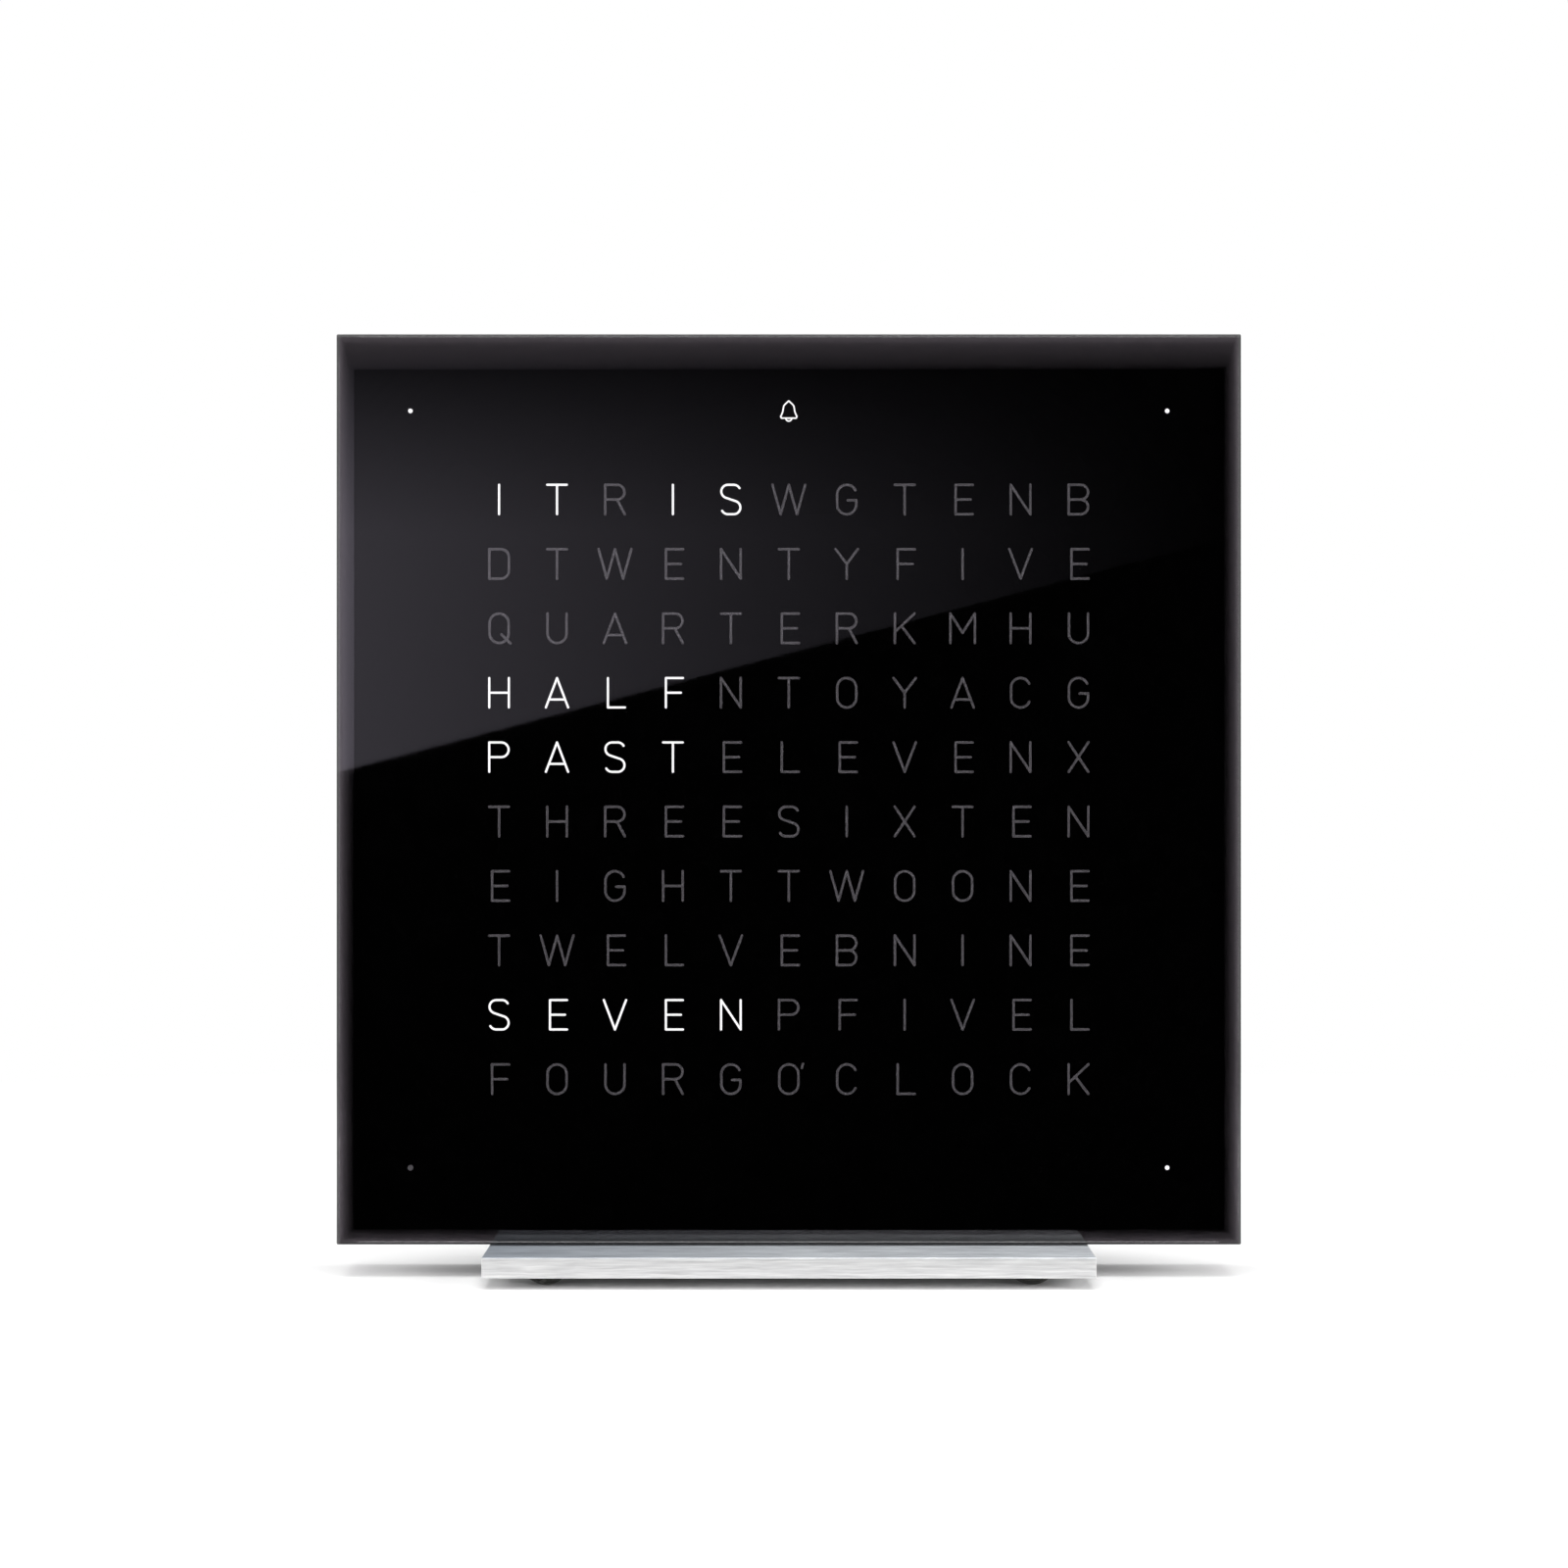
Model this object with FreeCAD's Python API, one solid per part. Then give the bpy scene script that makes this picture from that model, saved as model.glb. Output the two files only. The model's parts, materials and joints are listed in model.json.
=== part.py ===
import FreeCAD, Part
import math
import os

# Word clock for a desk or bedside. A smoked acrylic front with a cut letter mask behind it is held by
# magnets on a shallow housing, which stands on an aluminium foot plate.
# Millimetres. X is the width, Y runs from front to back, Z is up, and the origin is on the table under
# the middle of the foot.

# Outer sizes
BODY_WIDTH = 135.0
BODY_TOP = 140.8
BODY_DEPTH = 18.0
FOOT_WIDTH = 89.5
FOOT_DEPTH = 50.0
FOOT_THICKNESS = 3.0
BUMPER_HEIGHT = 1.7
BUMPER_RADIUS = 3.3
BUMPER_FLAT_DEPTH = 0.1
BUMPER_X = 35.8
BUMPER_Y = 17.0

# Front cover
PANE_THICKNESS = 3.0
PANE_LIFT = 0.2
MASK_THICKNESS = 0.3
COVER_GAP = 0.3
ARRIS = 0.15
FOOT_ARRIS = 0.08

# Walls of the smoked housing frame, and of the chassis inside it
SIDE_WALL = 2.3
BOTTOM_WALL = 2.15
TOP_WALL = 5.0
CHASSIS_WALL = 1.5
LEDGE_WIDTH = 4.7
LEDGE_THICKNESS = 1.2
BACK_COVER_THICKNESS = 2.0
SLIP = 0.1
BOARD_SLIP = 0.2

# Layers behind the mask
DIFFUSER_THICKNESS = 0.4
BAFFLE_THICKNESS = 4.0
BOARD_THICKNESS = 1.6

# Letters
COLUMN_PITCH = 8.69
ROW_PITCH = 9.66
CAP_HEIGHT = 4.83
STROKE = 0.42
DOT_RADIUS = 0.43
CORNER_OFFSET = 56.75
BELL_STROKE = 0.3
BELL_BASE = -1.08
CLAPPER_RADIUS = 0.55
CHAMBER_WALL = 1.0
DOT_WELL_RADIUS = 1.6
BELL_WELL_SIDE = 4.6
LETTER_ROWS = (
    "ITRISWGTENB",
    "DTWENTYFIVE",
    "QUARTERKMHU",
    "HALFNTOYACG",
    "PASTELEVENX",
    "THREESIXTEN",
    "EIGHTTWOONE",
    "TWELVEBNINE",
    "SEVENPFIVEL",
    "FOURGOCLOCK",
)
APOSTROPHE_ROW = 10
APOSTROPHE_COLUMN = 6

# Screws: thread radius, and the clearance of every screw in its hole
M2_RADIUS = 1.0
M25_RADIUS = 1.25
M3_RADIUS = 1.5
THREAD_CLEARANCE = 0.05
THROUGH_CLEARANCE = 0.2

# Places and sizes of what holds the pieces together
MAGNET_RADIUS = 3.0
MAGNET_THICKNESS = 2.0
MAGNET_RECESS = 0.2
MAGNET_X = 56.5
MAGNET_Z = 34.0
DISC_THICKNESS = 0.6
DISC_CLEARANCE = 0.4
BOARD_SCREW_X = 61.3
BOARD_SCREW_REACH = 50.8
COVER_BOSS_RADIUS = 3.2
COVER_BOSS_INSET = 5.5
FOOT_SCREW_X = 30.0
FOOT_SCREW_Y = 3.8
FOOT_BOSS_HALF = 3.0
INSERT_RADIUS = 2.1
INSERT_LENGTH = 6.0

# Buttons and their switches
BUTTON_ROW_HEIGHT = 39.0
BUTTON_PITCH = 16.0
BUTTON_RADIUS = 2.6
BUTTON_CLEARANCE = 0.3
BUTTON_FLANGE = 3.8
BUTTON_FLANGE_THICKNESS = 1.2
BUTTON_TRAVEL = 0.5
BUTTON_FIELD_DEPTH = 0.5
SWITCH_SIDE = 6.0
SWITCH_HEIGHT = 2.8
PLUNGER_RADIUS = 1.65
PLUNGER_CLEARANCE = 0.08
PLUNGER_REACH = 0.9
SWITCH_FLOOR = 0.3
PLUNGER_STOP = 0.2

# Power socket and sounder
SOCKET_WIDTH = 8.0
SOCKET_HEIGHT = 3.2
SOCKET_SHEET = 0.3
SOCKET_CORNER = 1.0
SOCKET_SINK = 0.4
SOCKET_CLEARANCE = 0.4
SOCKET_Z = 22.0
SOUNDER_RADIUS = 7.0
SOUNDER_HEIGHT = 4.0
SOUNDER_Z = 104.0
SOUND_HOLE_RADIUS = 0.7
SOUND_HOLE_PITCH = 2.6

# Backup cell and the touch foil under the top edge
CELL_X = -36.0
CELL_RADIUS = 6.25
CELL_THICKNESS = 2.0
CLIP_SHEET = 0.3
FOIL_LENGTH = 80.0
FOIL_THICKNESS = 0.15
TOUCH_NOTCH_HALF = 4.0

# Ventilation slots in the back cover
VENT_LENGTH = 22.0
VENT_WIDTH = 1.4
VENT_PITCH = 3.2
VENT_COUNT = 7
VENT_X = 38.0
VENT_LOWEST_Z = 84.0

# Worked out from the sizes above
FACE_Y = -BODY_DEPTH / 2
BACK_Y = BODY_DEPTH / 2
HALF_WIDTH = BODY_WIDTH / 2
FOOT_TOP = BUMPER_HEIGHT + FOOT_THICKNESS
PANE_BOTTOM = FOOT_TOP + PANE_LIFT
PANE_BACK = FACE_Y + PANE_THICKNESS
MASK_BACK = PANE_BACK + MASK_THICKNESS
HOUSING_FRONT = PANE_BACK + COVER_GAP
CHASSIS_FRONT = MASK_BACK + COVER_GAP
DIFFUSER_BACK = CHASSIS_FRONT + DIFFUSER_THICKNESS
BOARD_FRONT = DIFFUSER_BACK + BAFFLE_THICKNESS
BOARD_BACK = BOARD_FRONT + BOARD_THICKNESS
LEDGE_BACK = BOARD_BACK + LEDGE_THICKNESS
COVER_FRONT = BACK_Y - BACK_COVER_THICKNESS
CORE_X = HALF_WIDTH - SIDE_WALL
CORE_BOTTOM = FOOT_TOP + BOTTOM_WALL
CORE_TOP = BODY_TOP - TOP_WALL
INNER_X = CORE_X - CHASSIS_WALL
INNER_BOTTOM = CORE_BOTTOM + CHASSIS_WALL
INNER_TOP = CORE_TOP - CHASSIS_WALL
MIDDLE_Z = (PANE_BOTTOM + BODY_TOP) / 2
SWITCH_TOP = BOARD_BACK + SWITCH_HEIGHT
PLUNGER_TOP = SWITCH_TOP + PLUNGER_REACH
FLANGE_BACK = PLUNGER_TOP + BUTTON_FLANGE_THICKNESS
FIELD_FLOOR = BACK_Y - BUTTON_FIELD_DEPTH
BUTTON_NAMES = ("hour", "minute", "alarm", "mode")

CORNERS = [(x, z) for x in (-1, 1) for z in (-1, 1)]
MAGNET_PLACES = [(x * MAGNET_X, MIDDLE_Z + z * MAGNET_Z) for x, z in CORNERS]
DOT_PLACES = [(x * CORNER_OFFSET, MIDDLE_Z + z * CORNER_OFFSET) for x, z in CORNERS]
BELL_PLACE = (0.0, MIDDLE_Z + CORNER_OFFSET)
CELL_PLACE = (CELL_X, SOUNDER_Z)
SOCKET_PLACE = (0.0, SOCKET_Z)
BOARD_SCREW_PLACES = [
    (x * BOARD_SCREW_X, MIDDLE_Z + z * BOARD_SCREW_REACH) for x in (-1, 1) for z in (-1, 0, 1)
]
COVER_SCREW_PLACES = [
    (x * (CORE_X - COVER_BOSS_INSET), z)
    for x in (-1, 1)
    for z in (CORE_BOTTOM + COVER_BOSS_INSET, CORE_TOP - COVER_BOSS_INSET)
]


# Simple solids and faces


def box(x_range, y_range, z_range):
    size = [high - low for low, high in (x_range, y_range, z_range)]
    corner = FreeCAD.Vector(x_range[0], y_range[0], z_range[0])
    return Part.makeBox(*size, corner)


def centred_box(place, sides, y_range):
    (x, z), (width, height) = place, sides
    return box((x - width / 2, x + width / 2), y_range, (z - height / 2, z + height / 2))


def rod_y(place, radius, y_range):
    start = FreeCAD.Vector(place[0], y_range[0], place[1])
    return Part.makeCylinder(radius, y_range[1] - y_range[0], start, FreeCAD.Vector(0, 1, 0))


def cone_y(place, radii, y_range):
    start = FreeCAD.Vector(place[0], y_range[0], place[1])
    return Part.makeCone(*radii, y_range[1] - y_range[0], start, FreeCAD.Vector(0, 1, 0))


def rod_z(x, y, radius, z_range):
    return Part.makeCylinder(radius, z_range[1] - z_range[0], FreeCAD.Vector(x, y, z_range[0]))


def rounded_block(place, sides, radius, y_range):
    """A block with the four edges that run along Y rounded."""
    block = centred_box(place, sides, y_range)
    edges = [
        edge
        for edge in block.Edges
        if abs(edge.Vertexes[0].Y - edge.Vertexes[1].Y) > (y_range[1] - y_range[0]) / 2
    ]
    return block.makeFillet(radius, edges)


def flat_point(x, z):
    return FreeCAD.Vector(x, 0, z)


def closed_face(edges):
    return Part.Face(Part.Wire([edge.toShape() for edge in edges]))


# Letters, drawn by a round-ended pen on its centre line. A stroke is a line or an arc.


def chain(*points):
    return [("line", start, end) for start, end in zip(points, points[1:])]


def arc(centre, radius, start_degrees, end_degrees):
    return [("arc", centre, radius, start_degrees, end_degrees)]


def line_face(start, end, half_stroke):
    run = flat_point(end[0] - start[0], end[1] - start[1])
    run.normalize()
    ahead = run * half_stroke
    aside = flat_point(-ahead.z, ahead.x)
    first, last = flat_point(*start), flat_point(*end)
    return closed_face(
        [
            Part.LineSegment(first + aside, last + aside),
            Part.Arc(last + aside, last + ahead, last - aside),
            Part.LineSegment(last - aside, first - aside),
            Part.Arc(first - aside, first - ahead, first + aside),
        ]
    )


def arc_face(centre, radius, start_degrees, end_degrees, half_stroke):
    middle = flat_point(*centre)

    def at(degrees, distance):
        angle = math.radians(degrees)
        return middle + flat_point(math.cos(angle), math.sin(angle)) * distance

    def end_cap(degrees, forward):
        angle = math.radians(degrees)
        ahead = flat_point(-math.sin(angle), math.cos(angle)) * forward * half_stroke
        return at(degrees, radius) + ahead

    outer, inner = radius + half_stroke, radius - half_stroke
    half_way = (start_degrees + end_degrees) / 2
    return closed_face(
        [
            Part.Arc(at(start_degrees, outer), at(half_way, outer), at(end_degrees, outer)),
            Part.Arc(at(end_degrees, outer), end_cap(end_degrees, 1), at(end_degrees, inner)),
            Part.Arc(at(end_degrees, inner), at(half_way, inner), at(start_degrees, inner)),
            Part.Arc(at(start_degrees, inner), end_cap(start_degrees, -1), at(start_degrees, outer)),
        ]
    )


def letter_strokes():
    """The centre lines of each letter, about the letter's middle."""
    top = (CAP_HEIGHT - STROKE) / 2
    half = top / 2
    round_width, plain, wide = 1.43, 1.47, 1.67
    m_width, w_width, corner = 1.84, 2.45, 1.2
    stem, arm = -1.05, 1.5
    shoulder = top - round_width
    left_stem = chain((-plain, -top), (-plain, top))
    narrow_stem = chain((stem, -top), (stem, top))
    upper_round = arc((0, shoulder), round_width, 0, 180)
    lower_round = arc((0, -shoulder), round_width, 180, 360)
    left_side = chain((-round_width, shoulder), (-round_width, -shoulder))
    right_side = chain((round_width, shoulder), (round_width, -shoulder))
    oval = upper_round + left_side + lower_round + right_side
    bowl_x = round_width - half
    turn, lean = 1.0, 19
    turn_x, turn_z = round_width - turn, top - turn
    spine_x = turn_x + turn * math.sin(math.radians(lean))
    spine_z = turn_z - turn * math.cos(math.radians(lean))
    upper_bowl = (
        chain((-plain, top), (bowl_x, top))
        + arc((bowl_x, half), half, -90, 90)
        + chain((bowl_x, 0), (-plain, 0))
    )
    return {
        "A": chain((-wide, -top), (0, top), (wide, -top))
        + chain((-0.73 * wide, -0.46 * top), (0.73 * wide, -0.46 * top)),
        "B": left_stem
        + upper_bowl
        + arc((bowl_x, -half), half, -90, 90)
        + chain((bowl_x, -top), (-plain, -top)),
        "C": arc((0, shoulder), round_width, 25, 180)
        + left_side
        + arc((0, -shoulder), round_width, 180, 335),
        "D": left_stem
        + chain((-plain, top), (plain - corner, top))
        + arc((plain - corner, top - corner), corner, 0, 90)
        + chain((plain, top - corner), (plain, corner - top))
        + arc((plain - corner, corner - top), corner, 270, 360)
        + chain((plain - corner, -top), (-plain, -top)),
        "E": narrow_stem
        + chain((stem, top), (arm, top))
        + chain((stem, 0), (0.8 * arm, 0))
        + chain((stem, -top), (arm, -top)),
        "F": narrow_stem
        + chain((stem, top), (arm, top))
        + chain((stem, 0), (0.8 * arm, 0)),
        "G": arc((0, shoulder), round_width, 25, 180)
        + left_side
        + lower_round
        + chain((round_width, -shoulder), (round_width, -0.05 * top), (0.2, -0.05 * top)),
        "H": left_stem + chain((plain, -top), (plain, top)) + chain((-plain, 0), (plain, 0)),
        "I": chain((0, -top), (0, top)),
        "K": left_stem
        + chain((plain, top), (-plain, -0.25 * top))
        + chain((-0.4, 0.12 * top), (plain, -top)),
        "L": narrow_stem + chain((stem, -top), (arm, -top)),
        "M": chain((-m_width, -top), (-m_width, top), (0, -0.3 * top), (m_width, top), (m_width, -top)),
        "N": chain((-plain, -top), (-plain, top), (plain, -top), (plain, top)),
        "O": oval,
        "P": left_stem + upper_bowl,
        "Q": oval + chain((0.35, -0.42 * top), (1.2 * round_width, -1.03 * top)),
        "R": left_stem + upper_bowl + chain((0.3, 0), (plain, -top)),
        "S": arc((turn_x, turn_z), turn, 30, 90)
        + chain((turn_x, top), (-turn_x, top))
        + arc((-turn_x, turn_z), turn, 90, 270 - lean)
        + chain((-spine_x, spine_z), (spine_x, -spine_z))
        + arc((turn_x, -turn_z), turn, -90, 90 - lean)
        + chain((turn_x, -top), (-turn_x, -top))
        + arc((-turn_x, -turn_z), turn, 210, 270),
        "T": chain((-plain, top), (plain, top)) + chain((0, top), (0, -top)),
        "U": chain((-round_width, top), (-round_width, -shoulder))
        + lower_round
        + chain((round_width, -shoulder), (round_width, top)),
        "V": chain((-wide, top), (0, -top), (wide, top)),
        "W": chain((-w_width, top), (-w_width / 2, -top), (0, top), (w_width / 2, -top), (w_width, top)),
        "X": chain((-plain, top), (plain, -top)) + chain((-plain, -top), (plain, top)),
        "Y": chain((-wide, top), (0, 0), (wide, top)) + chain((0, 0), (0, -top)),
        "'": chain((2.1, top + 0.1), (1.95, top - 0.55)),
    }


def bell_strokes():
    """The outline of a hand bell."""
    shoulder = [(0, 1.5), (0.44, 1.1), (0.74, 0.78)]
    flank = [(0.82, 0.4), (0.9, -0.1), (1.06, -0.52), (1.22, -0.84), (1.1, BELL_BASE)]
    strokes = chain((-1.1, BELL_BASE), (1.1, BELL_BASE))
    for way in (-1, 1):
        strokes += chain(*[(way * x, z) for x, z in shoulder + flank])
    return strokes


def stroke_faces(strokes, stroke_width):
    faces = []
    for kind, *sizes in strokes:
        make_face = line_face if kind == "line" else arc_face
        faces.append(make_face(*sizes, stroke_width / 2))
    return faces


def through_solid(face, y_range):
    solid = face.extrude(FreeCAD.Vector(0, y_range[1] - y_range[0], 0))
    solid.translate(FreeCAD.Vector(0, y_range[0], 0))
    return solid


def letter_tool(strokes, y_range):
    """One solid that cuts all strokes of a letter through the mask."""
    faces = stroke_faces(strokes, STROKE)
    joined = faces[0].multiFuse(faces[1:]).removeSplitter() if len(faces) > 1 else faces[0]
    return through_solid(joined, y_range)


def bell_tools(y_range):
    """Solids that cut the bell's outline, and the half disc of its clapper, through the mask."""
    tools = [through_solid(face, y_range) for face in stroke_faces(bell_strokes(), BELL_STROKE)]
    clapper = rod_y((0, BELL_BASE), CLAPPER_RADIUS, y_range)
    lower_half = box((-1, 1), y_range, (BELL_BASE - 1, BELL_BASE))
    tools.append(clapper.common(lower_half))
    return [tool.translated(flat_point(*BELL_PLACE)) for tool in tools]


def letter_place(row, column):
    """The middle of a letter, with rows counted from the top and columns from the left, from 1."""
    across = (column - (len(LETTER_ROWS[0]) + 1) / 2) * COLUMN_PITCH
    up = ((len(LETTER_ROWS) + 1) / 2 - row) * ROW_PITCH
    return across, MIDDLE_Z + up


def letter_places():
    for row, letters in enumerate(LETTER_ROWS, 1):
        for column, letter in enumerate(letters, 1):
            yield letter, letter_place(row, column)


# Front cover


def front_pane():
    pane = box((-HALF_WIDTH, HALF_WIDTH), (FACE_Y, PANE_BACK), (PANE_BOTTOM, BODY_TOP))
    return pane.makeChamfer(ARRIS, pane.Edges)


def letter_mask():
    mask = box((-CORE_X, CORE_X), (PANE_BACK, MASK_BACK), (CORE_BOTTOM, CORE_TOP))
    through = (PANE_BACK - 1, MASK_BACK + 1)
    tools = {name: letter_tool(strokes, through) for name, strokes in letter_strokes().items()}
    placed = [*letter_places(), ("'", letter_place(APOSTROPHE_ROW, APOSTROPHE_COLUMN))]
    cuts = [tools[name].translated(flat_point(*place)) for name, place in placed]
    cuts += bell_tools(through)
    cuts += [rod_y(place, DOT_RADIUS, through) for place in DOT_PLACES]
    return mask.cut(cuts)


def steel_discs():
    return [
        rod_y(place, MAGNET_RADIUS, (MASK_BACK, MASK_BACK + DISC_THICKNESS)) for place in MAGNET_PLACES
    ]


# Housing and what it carries


def housing_frame():
    outer = box((-HALF_WIDTH, HALF_WIDTH), (HOUSING_FRONT, BACK_Y), (FOOT_TOP, BODY_TOP))
    outer = outer.makeChamfer(ARRIS, outer.Edges)
    inner = box((-CORE_X, CORE_X), (HOUSING_FRONT - 1, BACK_Y + 1), (CORE_BOTTOM, CORE_TOP))
    holes = [
        rod_z(x, FOOT_SCREW_Y, M3_RADIUS + THROUGH_CLEARANCE, (FOOT_TOP - 1, CORE_BOTTOM + 1))
        for x in (-FOOT_SCREW_X, FOOT_SCREW_X)
    ]
    return outer.cut([inner, *holes])


def chassis():
    depth = (CHASSIS_FRONT, COVER_FRONT)
    ledge_depth = (BOARD_BACK, LEDGE_BACK)
    ring = box((-CORE_X, CORE_X), depth, (CORE_BOTTOM, CORE_TOP))
    ring = ring.cut(box((-INNER_X, INNER_X), (depth[0] - 1, depth[1] + 1), (INNER_BOTTOM, INNER_TOP)))
    ledge = box((-INNER_X, INNER_X), ledge_depth, (INNER_BOTTOM, INNER_TOP))
    opening = box(
        (LEDGE_WIDTH - INNER_X, INNER_X - LEDGE_WIDTH),
        (ledge_depth[0] - 1, ledge_depth[1] + 1),
        (INNER_BOTTOM + LEDGE_WIDTH, INNER_TOP - LEDGE_WIDTH),
    )
    touch_notch = box(
        (-TOUCH_NOTCH_HALF, TOUCH_NOTCH_HALF),
        (ledge_depth[0] - 1, ledge_depth[1] + 1),
        (INNER_TOP - LEDGE_WIDTH - 1, INNER_TOP),
    )
    ledge = ledge.cut([opening, touch_notch])
    cover_bosses = [
        rod_y(place, COVER_BOSS_RADIUS, (ledge_depth[0], COVER_FRONT)) for place in COVER_SCREW_PLACES
    ]
    foot_bosses = [
        box(
            (x - FOOT_BOSS_HALF - 1, x + FOOT_BOSS_HALF + 1),
            (FOOT_SCREW_Y - FOOT_BOSS_HALF, FOOT_SCREW_Y + FOOT_BOSS_HALF),
            (CORE_BOTTOM, CORE_BOTTOM + INSERT_LENGTH + 1),
        )
        for x in (-FOOT_SCREW_X, FOOT_SCREW_X)
    ]
    solid = ring.multiFuse([ledge, *cover_bosses, *foot_bosses]).removeSplitter()
    holes = [
        rod_y(place, M25_RADIUS + THREAD_CLEARANCE, (LEDGE_BACK, COVER_FRONT + 1))
        for place in COVER_SCREW_PLACES
    ]
    holes += [
        rod_y(place, M2_RADIUS + THROUGH_CLEARANCE, (ledge_depth[0] - 1, ledge_depth[1] + 1))
        for place in BOARD_SCREW_PLACES
    ]
    holes += [
        rod_z(x, FOOT_SCREW_Y, INSERT_RADIUS, (CORE_BOTTOM - 1, CORE_BOTTOM + INSERT_LENGTH))
        for x in (-FOOT_SCREW_X, FOOT_SCREW_X)
    ]
    return solid.cut(holes)


def threaded_inserts():
    inserts = []
    for x in (-FOOT_SCREW_X, FOOT_SCREW_X):
        span = (CORE_BOTTOM, CORE_BOTTOM + INSERT_LENGTH)
        body = rod_z(x, FOOT_SCREW_Y, INSERT_RADIUS, span)
        inserts.append(body.cut(rod_z(x, FOOT_SCREW_Y, M3_RADIUS + THREAD_CLEARANCE, span)))
    return inserts


def board_outline(y_range):
    return box(
        (BOARD_SLIP - INNER_X, INNER_X - BOARD_SLIP),
        y_range,
        (INNER_BOTTOM + BOARD_SLIP, INNER_TOP - BOARD_SLIP),
    )


def diffuser_sheet():
    sheet = board_outline((CHASSIS_FRONT, DIFFUSER_BACK))
    through = (CHASSIS_FRONT - 1, DIFFUSER_BACK + 1)
    return sheet.cut([rod_y(place, MAGNET_RADIUS + DISC_CLEARANCE, through) for place in MAGNET_PLACES])


def light_baffle():
    block = board_outline((DIFFUSER_BACK, BOARD_FRONT))
    through = (DIFFUSER_BACK - 1, BOARD_FRONT + 1)
    chamber = (COLUMN_PITCH - CHAMBER_WALL, ROW_PITCH - CHAMBER_WALL)
    cuts = [centred_box(place, chamber, through) for _, place in letter_places()]
    cuts += [rod_y(place, DOT_WELL_RADIUS, through) for place in DOT_PLACES]
    cuts.append(centred_box(BELL_PLACE, (BELL_WELL_SIDE, BELL_WELL_SIDE), through))
    pocket_floor = DIFFUSER_BACK + MAGNET_RECESS + MAGNET_THICKNESS
    cuts += [rod_y(place, MAGNET_RADIUS, (DIFFUSER_BACK - 1, pocket_floor)) for place in MAGNET_PLACES]
    cuts += [
        rod_y(place, M2_RADIUS + THREAD_CLEARANCE, (DIFFUSER_BACK + 1, BOARD_FRONT + 1))
        for place in BOARD_SCREW_PLACES
    ]
    return block.cut(cuts)


def cover_magnets():
    front = DIFFUSER_BACK + MAGNET_RECESS
    return [rod_y(place, MAGNET_RADIUS, (front, front + MAGNET_THICKNESS)) for place in MAGNET_PLACES]


def main_board():
    board = board_outline((BOARD_FRONT, BOARD_BACK))
    through = (BOARD_FRONT - 1, BOARD_BACK + 1)
    return board.cut(
        [rod_y(place, M2_RADIUS + THROUGH_CLEARANCE, through) for place in BOARD_SCREW_PLACES]
    )


def board_screws():
    head_radius, head_height, thread_length = 1.9, 1.2, 5.4
    screws = []
    for place in BOARD_SCREW_PLACES:
        head = rod_y(place, head_radius, (LEDGE_BACK, LEDGE_BACK + head_height))
        thread = rod_y(place, M2_RADIUS, (LEDGE_BACK - thread_length, LEDGE_BACK))
        slot = cross_recess(place, LEDGE_BACK + head_height)
        screws.append(head.fuse(thread).cut(slot))
    return screws


def cross_recess(place, head_end):
    """The cross slot in a screw head whose top faces the back."""
    length, width, depth = 2.0, 0.45, 0.6
    span = (head_end - depth, head_end + 1)
    return centred_box(place, (length, width), span).fuse(centred_box(place, (width, length), span))


# Electronics


def surface_led(place, sides, height, window_radius):
    """A surface-mount LED on the front of the board, with its light window as a shallow cone."""
    front = BOARD_FRONT - height
    body = centred_box(place, sides, (front, BOARD_FRONT))
    window_depth = height / 4
    window = cone_y(place, (window_radius, window_radius * 0.75), (front, front + window_depth))
    return body.cut(window)


def letter_leds():
    sides, height, window_radius = (3.5, 2.8), 1.9, 1.15
    return [surface_led(place, sides, height, window_radius) for _, place in letter_places()]


def small_led(place):
    sides, height, window_radius = (1.6, 1.2), 0.7, 0.45
    return surface_led(place, sides, height, window_radius)


def light_sensor():
    """It looks out of the chamber of an upper letter, above that letter's LED."""
    side, height, lift = 2.0, 0.7, 2.9
    x, z = letter_place(1, 6)
    return centred_box((x, z + lift), (side, side), (BOARD_FRONT - height, BOARD_FRONT))


def chip(place, sides, height, side_pins, end_pins=0):
    """A moulded chip on the back of the board, with flat legs on two or four of its sides."""
    (x, z), (width, length) = place, sides
    stand_off, leg_length, leg_width, leg_thickness = 0.1, 0.9, 0.3, 0.2
    body = centred_box(place, sides, (BOARD_BACK + stand_off, BOARD_BACK + height))
    leg_depth = (BOARD_BACK, BOARD_BACK + leg_thickness)
    legs = []
    for pin in range(side_pins):
        offset = (pin - (side_pins - 1) / 2) * length / side_pins
        legs.append(centred_box((x, z + offset), (width + 2 * leg_length, leg_width), leg_depth))
    for pin in range(end_pins):
        offset = (pin - (end_pins - 1) / 2) * width / end_pins
        legs.append(centred_box((x + offset, z), (leg_width, length + 2 * leg_length), leg_depth))
    return body.multiFuse(legs).removeSplitter()


def led_drivers():
    sides, height, side_pins, z = (5.3, 8.2), 1.8, 12, 72.0
    return [chip((x, z), sides, height, side_pins) for x in (-34.0, -20.0, 34.0)]


def row_transistors():
    """One for each row of letters."""
    sides, height, side_pins, pitch, z = (1.4, 2.9), 1.0, 2, 9.0, 56.0
    count = len(LETTER_ROWS)
    middle = (count - 1) / 2
    return [chip(((number - middle) * pitch, z), sides, height, side_pins) for number in range(count)]


def microcontroller():
    place, side, height, side_pins = (6.0, 76.0), 10.0, 1.4, 11
    return chip(place, (side, side), height, side_pins, side_pins)


def clock_crystal():
    """A small can lying on the board beside the microcontroller."""
    x, low, length, radius = 15.0, 73.0, 6.0, 1.0
    return rod_z(x, BOARD_BACK + radius, radius, (low, low + length))


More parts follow.
